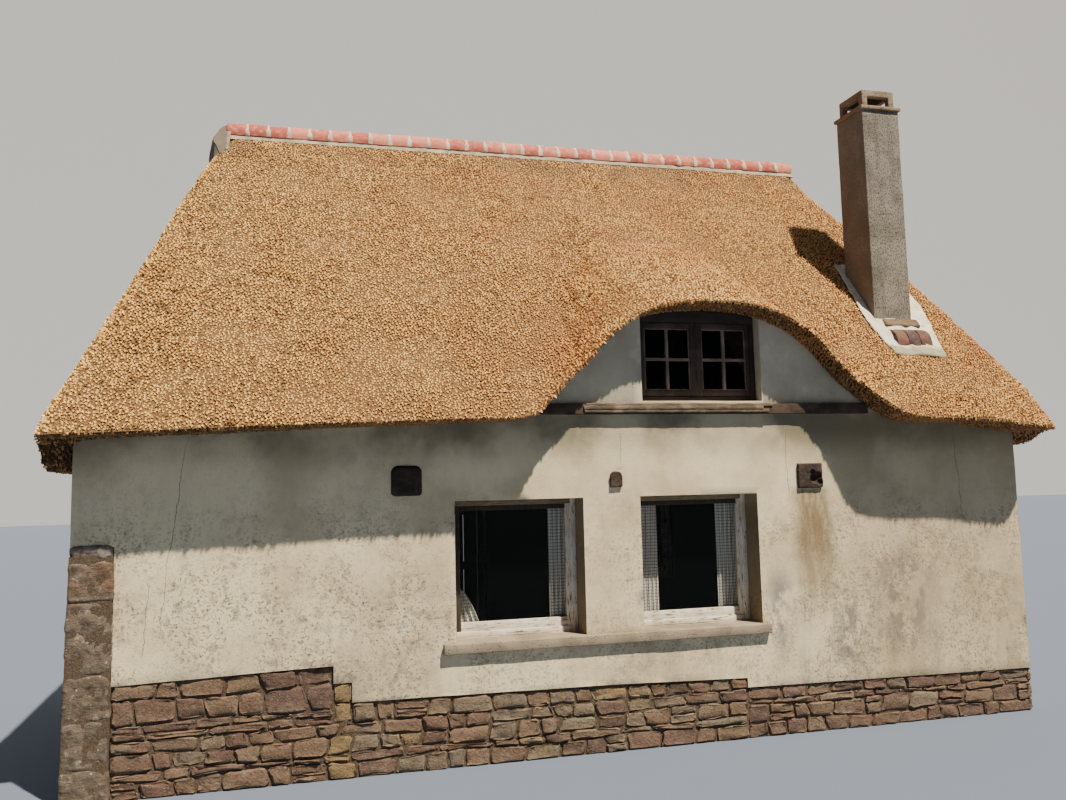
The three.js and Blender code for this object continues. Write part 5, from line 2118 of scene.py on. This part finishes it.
@dataclass
class RidgeCapping(SubAssembly):
    """Half-round clay tiles bedded in mortar along the ridge, pointed between them."""

    start: float = 921.0
    end: float = 7079.0
    tiles: int = 31
    radius: float = 114.0
    thickness: float = 15.0
    centre: float = 5607.0
    across: float = 2162.0
    half_angle: float = 106.0
    joint: float = 15.0
    joint_proud: float = 2.0
    joint_flare: float = 2.0
    bed_step: float = 0.05

    def pointing(self) -> Piece:
        """Model the mortar between two tiles, which spreads at the tiles' lower corners."""
        joint = saddle("joint", (self.joint + 8) / 1000, (self.radius + self.joint_proud) / 1000,
                       0.013, self.half_angle)
        with editing(joint):
            pick_faces(joint, lambda centre, normal: centre.z < 0.02)
            bpy.ops.transform.resize(value=(self.joint_flare, 1.0, 1.0))
        return soften(joint, 0.003, 1, 50.0)

    def build(self) -> None:
        """Lay the tiles, their joints and their bed."""
        pitch = (self.end - self.start) / self.tiles
        tile = soften(saddle("ridge tile", (pitch - self.joint) / 1000, self.radius / 1000,
                             self.thickness / 1000, self.half_angle), 0.003, 1, 50.0)
        random.seed(5)
        places, tones = [], []
        for number in range(self.tiles):
            x = self.start + pitch * (number + 0.5)
            middle = house(x, self.across, self.centre - 2 + random.uniform(-3, 2))
            turn = Matrix.Rotation(math.radians(random.uniform(-1.1, 1.1)), 4, "Y")
            places.append(Matrix.Translation(middle) @ turn)
            tones.append(random.random())
        piece = repeated("ridge_tiles_laid", tile, places, tones)
        settle(smooth(piece, 40.0), "clay_tile", RIDGE_CLAY, "ridge_tiles")
        joints = [
            Matrix.Translation(house(self.start + pitch * number, self.across, self.centre - 2))
            for number in range(1, self.tiles)]
        piece = repeated(
            "ridge_joints", self.pointing(), joints, [random.random() for _ in joints], 0.0025)
        settle(smooth(piece, 50.0), "mortar", JOINT_MORTAR)
        bed = cad_copy("ridge_mortar", "ridge_mortar_trowelled")
        soften(bed, 0.012, 2)
        scored(bed, 0, self.bed_step)
        roughen(bed, 0.11, 0.03, 3)
        settle(smooth(bed, 50.0), "mortar", RIDGE_MORTAR, "ridge_mortar")


@dataclass
class Chimney(SubAssembly):
    """The square shaft with its collar, cap, mortar flashing and tile apron."""

    apron_left: float = 6970.0
    apron_right: float = 7350.0
    apron_middle: float = 239.0
    apron_tones: tuple[float, ...] = (0.2, 0.75, 0.45)
    apron_radius: float = 0.169
    apron_half_angle: float = 43.0
    apron_rise: float = 0.026
    still_edge: float = 0.09
    neck: float = 5660.0
    neck_rise: float = 0.032

    def cast(self, node: str, arris: float, step: float, finish: Finish) -> Piece:
        """Copy one cast part and wear its edges and faces."""
        piece = cad_copy(node, f"{node}_cast")
        # the collar is a thin slab on a neck as wide as the shaft
        for corner in piece.data.vertices:
            if abs(corner.co.z - house(0, 0, self.neck).z) < 0.002:
                corner.co.z += self.neck_rise
        soften(piece, arris, 2)
        scored(piece, 2, step)
        scored(piece, 0, step)
        roughen(piece, 0.09, 0.006, 3)
        return settle(smooth(piece, 35.0), "concrete", finish, node)

    def on_slope(self, node: str, x: float, y: float) -> Matrix:
        """Return the frame of a place on a node's upper face: Y up the slope, Z outwards."""
        body = bmesh.new()
        body.from_mesh(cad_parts[node].data)
        start = house(x, y, 7000)
        point, normal, _, _ = BVHTree.FromBMesh(body).ray_cast(start, Vector((0, 0, -1)))
        body.free()
        along = Vector((1, 0, 0))
        axes = Matrix((along, normal.cross(along), normal)).transposed().to_4x4()
        return Matrix.Translation(point) @ axes

    def flashing(self) -> None:
        """Trowel the mortar round the shaft, with wavy edges."""
        piece = cad_copy("chimney_flashing", "chimney_flashing_trowelled")
        soften(piece, 0.014, 3)
        scored(piece, 0, 0.03)
        scored(piece, 1, 0.03)
        low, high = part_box("chimney_stack")
        edge = "outer edge"
        group = piece.vertex_groups.new(name=edge)
        for corner in piece.data.vertices:
            away = max(low.x - corner.co.x, corner.co.x - high.x,
                       low.y - corner.co.y, corner.co.y - high.y)
            group.add([corner.index], min(1.0, max(0.0, away / self.still_edge)), "REPLACE")
        for way in "XY":
            roughen(piece, 0.1, 0.09, 2, way, edge)
        roughen(piece, 0.12, 0.03, 3)
        settle(smooth(piece, 60.0), "mortar", FLASHING, "chimney_flashing")

    def apron(self) -> None:
        """Lay the arched tiles below the shaft and the sandy mortar above them."""
        count = len(self.apron_tones)
        width = (self.apron_right - self.apron_left) / count / 1000
        tile = saddle(
            "apron tile", width - 0.007, self.apron_radius, 0.016, self.apron_half_angle, 8)
        middle = self.on_slope(
            "chimney_apron_tiles", (self.apron_left + self.apron_right) / 2, self.apron_middle)
        low = self.apron_rise - self.apron_radius
        places = [
            middle @ Matrix.Translation((width * (number - (count - 1) / 2), 0, low))
            for number in range(count)]
        piece = repeated("chimney_apron_tiles_laid", soften(tile, 0.003, 1, 50.0), places,
                         self.apron_tones, 0.002)
        settle(smooth(piece, 40.0), "clay_tile", APRON_CLAY, "chimney_apron_tiles")
        half = (self.apron_right - self.apron_left) / 2000
        strip = box(
            "chimney_apron_mortar", Vector((-half, -0.045, -0.06)), Vector((half, 0.06, 0.008)))
        soften(strip, 0.02, 3)
        scored(strip, 0, 0.03)
        roughen(strip, 0.07, 0.014, 3)
        strip.data.transform(self.on_slope("chimney_apron_tiles", 7160, 362))
        settle(smooth(strip, 60.0), "mortar", SANDY_MORTAR)

    def build(self) -> None:
        """Cast the shaft, collar and cap, and trowel what seals them to the thatch."""
        self.cast("chimney_stack", 0.007, 0.08, CHIMNEY)
        self.cast("chimney_collar", 0.005, 0.06, CHIMNEY_TOP)
        self.cast("chimney_cap", 0.005, 0.06, CHIMNEY_TOP)
        self.flashing()
        self.apron()


@dataclass
class Studio:
    """The pale floor, the soft lights and the camera at the picture's viewpoint."""

    eye: tuple[float, float, float] = (-2.659, -9.674, 2.148)
    right: tuple[float, float, float] = (0.965, -0.262, -0.022)
    forward: tuple[float, float, float] = (0.263, 0.959, 0.109)
    lens: float = 32.71
    picture_width: int = 1066
    lift: float = 25.0
    sun_from: tuple[float, float, float] = (0.62, -1.0, 2.15)
    sun_power: float = 10.2
    sun_spread: float = 1.2
    sky_power: float = 0.11
    floor_size: float = 160.0
    backdrop_away: float = 60.0

    def camera(self) -> None:
        """Set the camera, with the frame moved down a little to hold the walls' foot."""
        forward = Vector(self.forward).normalized()
        right = Vector(self.right)
        right = (right - forward * right.dot(forward)).normalized()
        up = right.cross(forward)
        data = bpy.data.cameras.new("viewpoint")
        data.lens = self.lens
        data.sensor_width = 36.0
        data.sensor_fit = "HORIZONTAL"
        data.shift_y = -self.lift / self.picture_width
        data.clip_end = 400.0
        camera = placed("viewpoint", data)
        turn = Matrix((right, up, -forward)).transposed().to_4x4()
        camera.matrix_world = Matrix.Translation(Vector(self.eye)) @ turn
        bpy.context.scene.camera = camera

    def lights(self) -> None:
        """Set a wide key light high on the right and an even sky."""
        data = bpy.data.lights.new("key", "SUN")
        data.energy = self.sun_power
        data.angle = math.radians(self.sun_spread)
        data.color = linear("#fff0d6")[:3]
        key = placed("key", data)
        key.rotation_euler = Vector(self.sun_from).to_track_quat("Z", "Y").to_euler()
        world = bpy.data.worlds.new("studio")
        world.use_nodes = True
        sky = world.node_tree.nodes["Background"]
        sky.inputs[0].default_value = linear("#b4d4ff")
        sky.inputs[1].default_value = self.sky_power
        bpy.context.scene.world = world

    def surface(self, name: str, finish: Finish, **settings: Any) -> None:
        """Lay one plane of the studio."""
        piece = primitive(name, bpy.ops.mesh.primitive_plane_add, **settings)
        piece.data.materials.append(finish.material())

    def make(self) -> None:
        """Set up the camera and lights, the floor under the house and a far backdrop."""
        self.camera()
        self.lights()
        self.surface("studio_floor", STUDIO_FLOOR, size=self.floor_size, location=(0, 0, -0.001))
        size = self.floor_size * 2
        self.surface("studio_backdrop", STUDIO_BACKDROP, size=size, rotation=(math.pi / 2, 0, 0),
                     location=(0, self.backdrop_away, size / 2 - 0.5))


def main() -> None:
    """Build the house part by part in the studio."""
    logging.basicConfig(level=logging.INFO, format="%(name)s: %(message)s")
    Studio().make()
    parts: tuple[SubAssembly, ...] = (
        Walls(), StoneBases(), CornerQuoin(), TieBeams(), GroundWindows(), NetCurtains(),
        WindowSill(), Dormer(), BackDoor(), Inside(), ThatchRoof(), RidgeCapping(), Chimney(),
    )
    for part in parts:
        part.make()


if __name__ == "__main__":
    main()
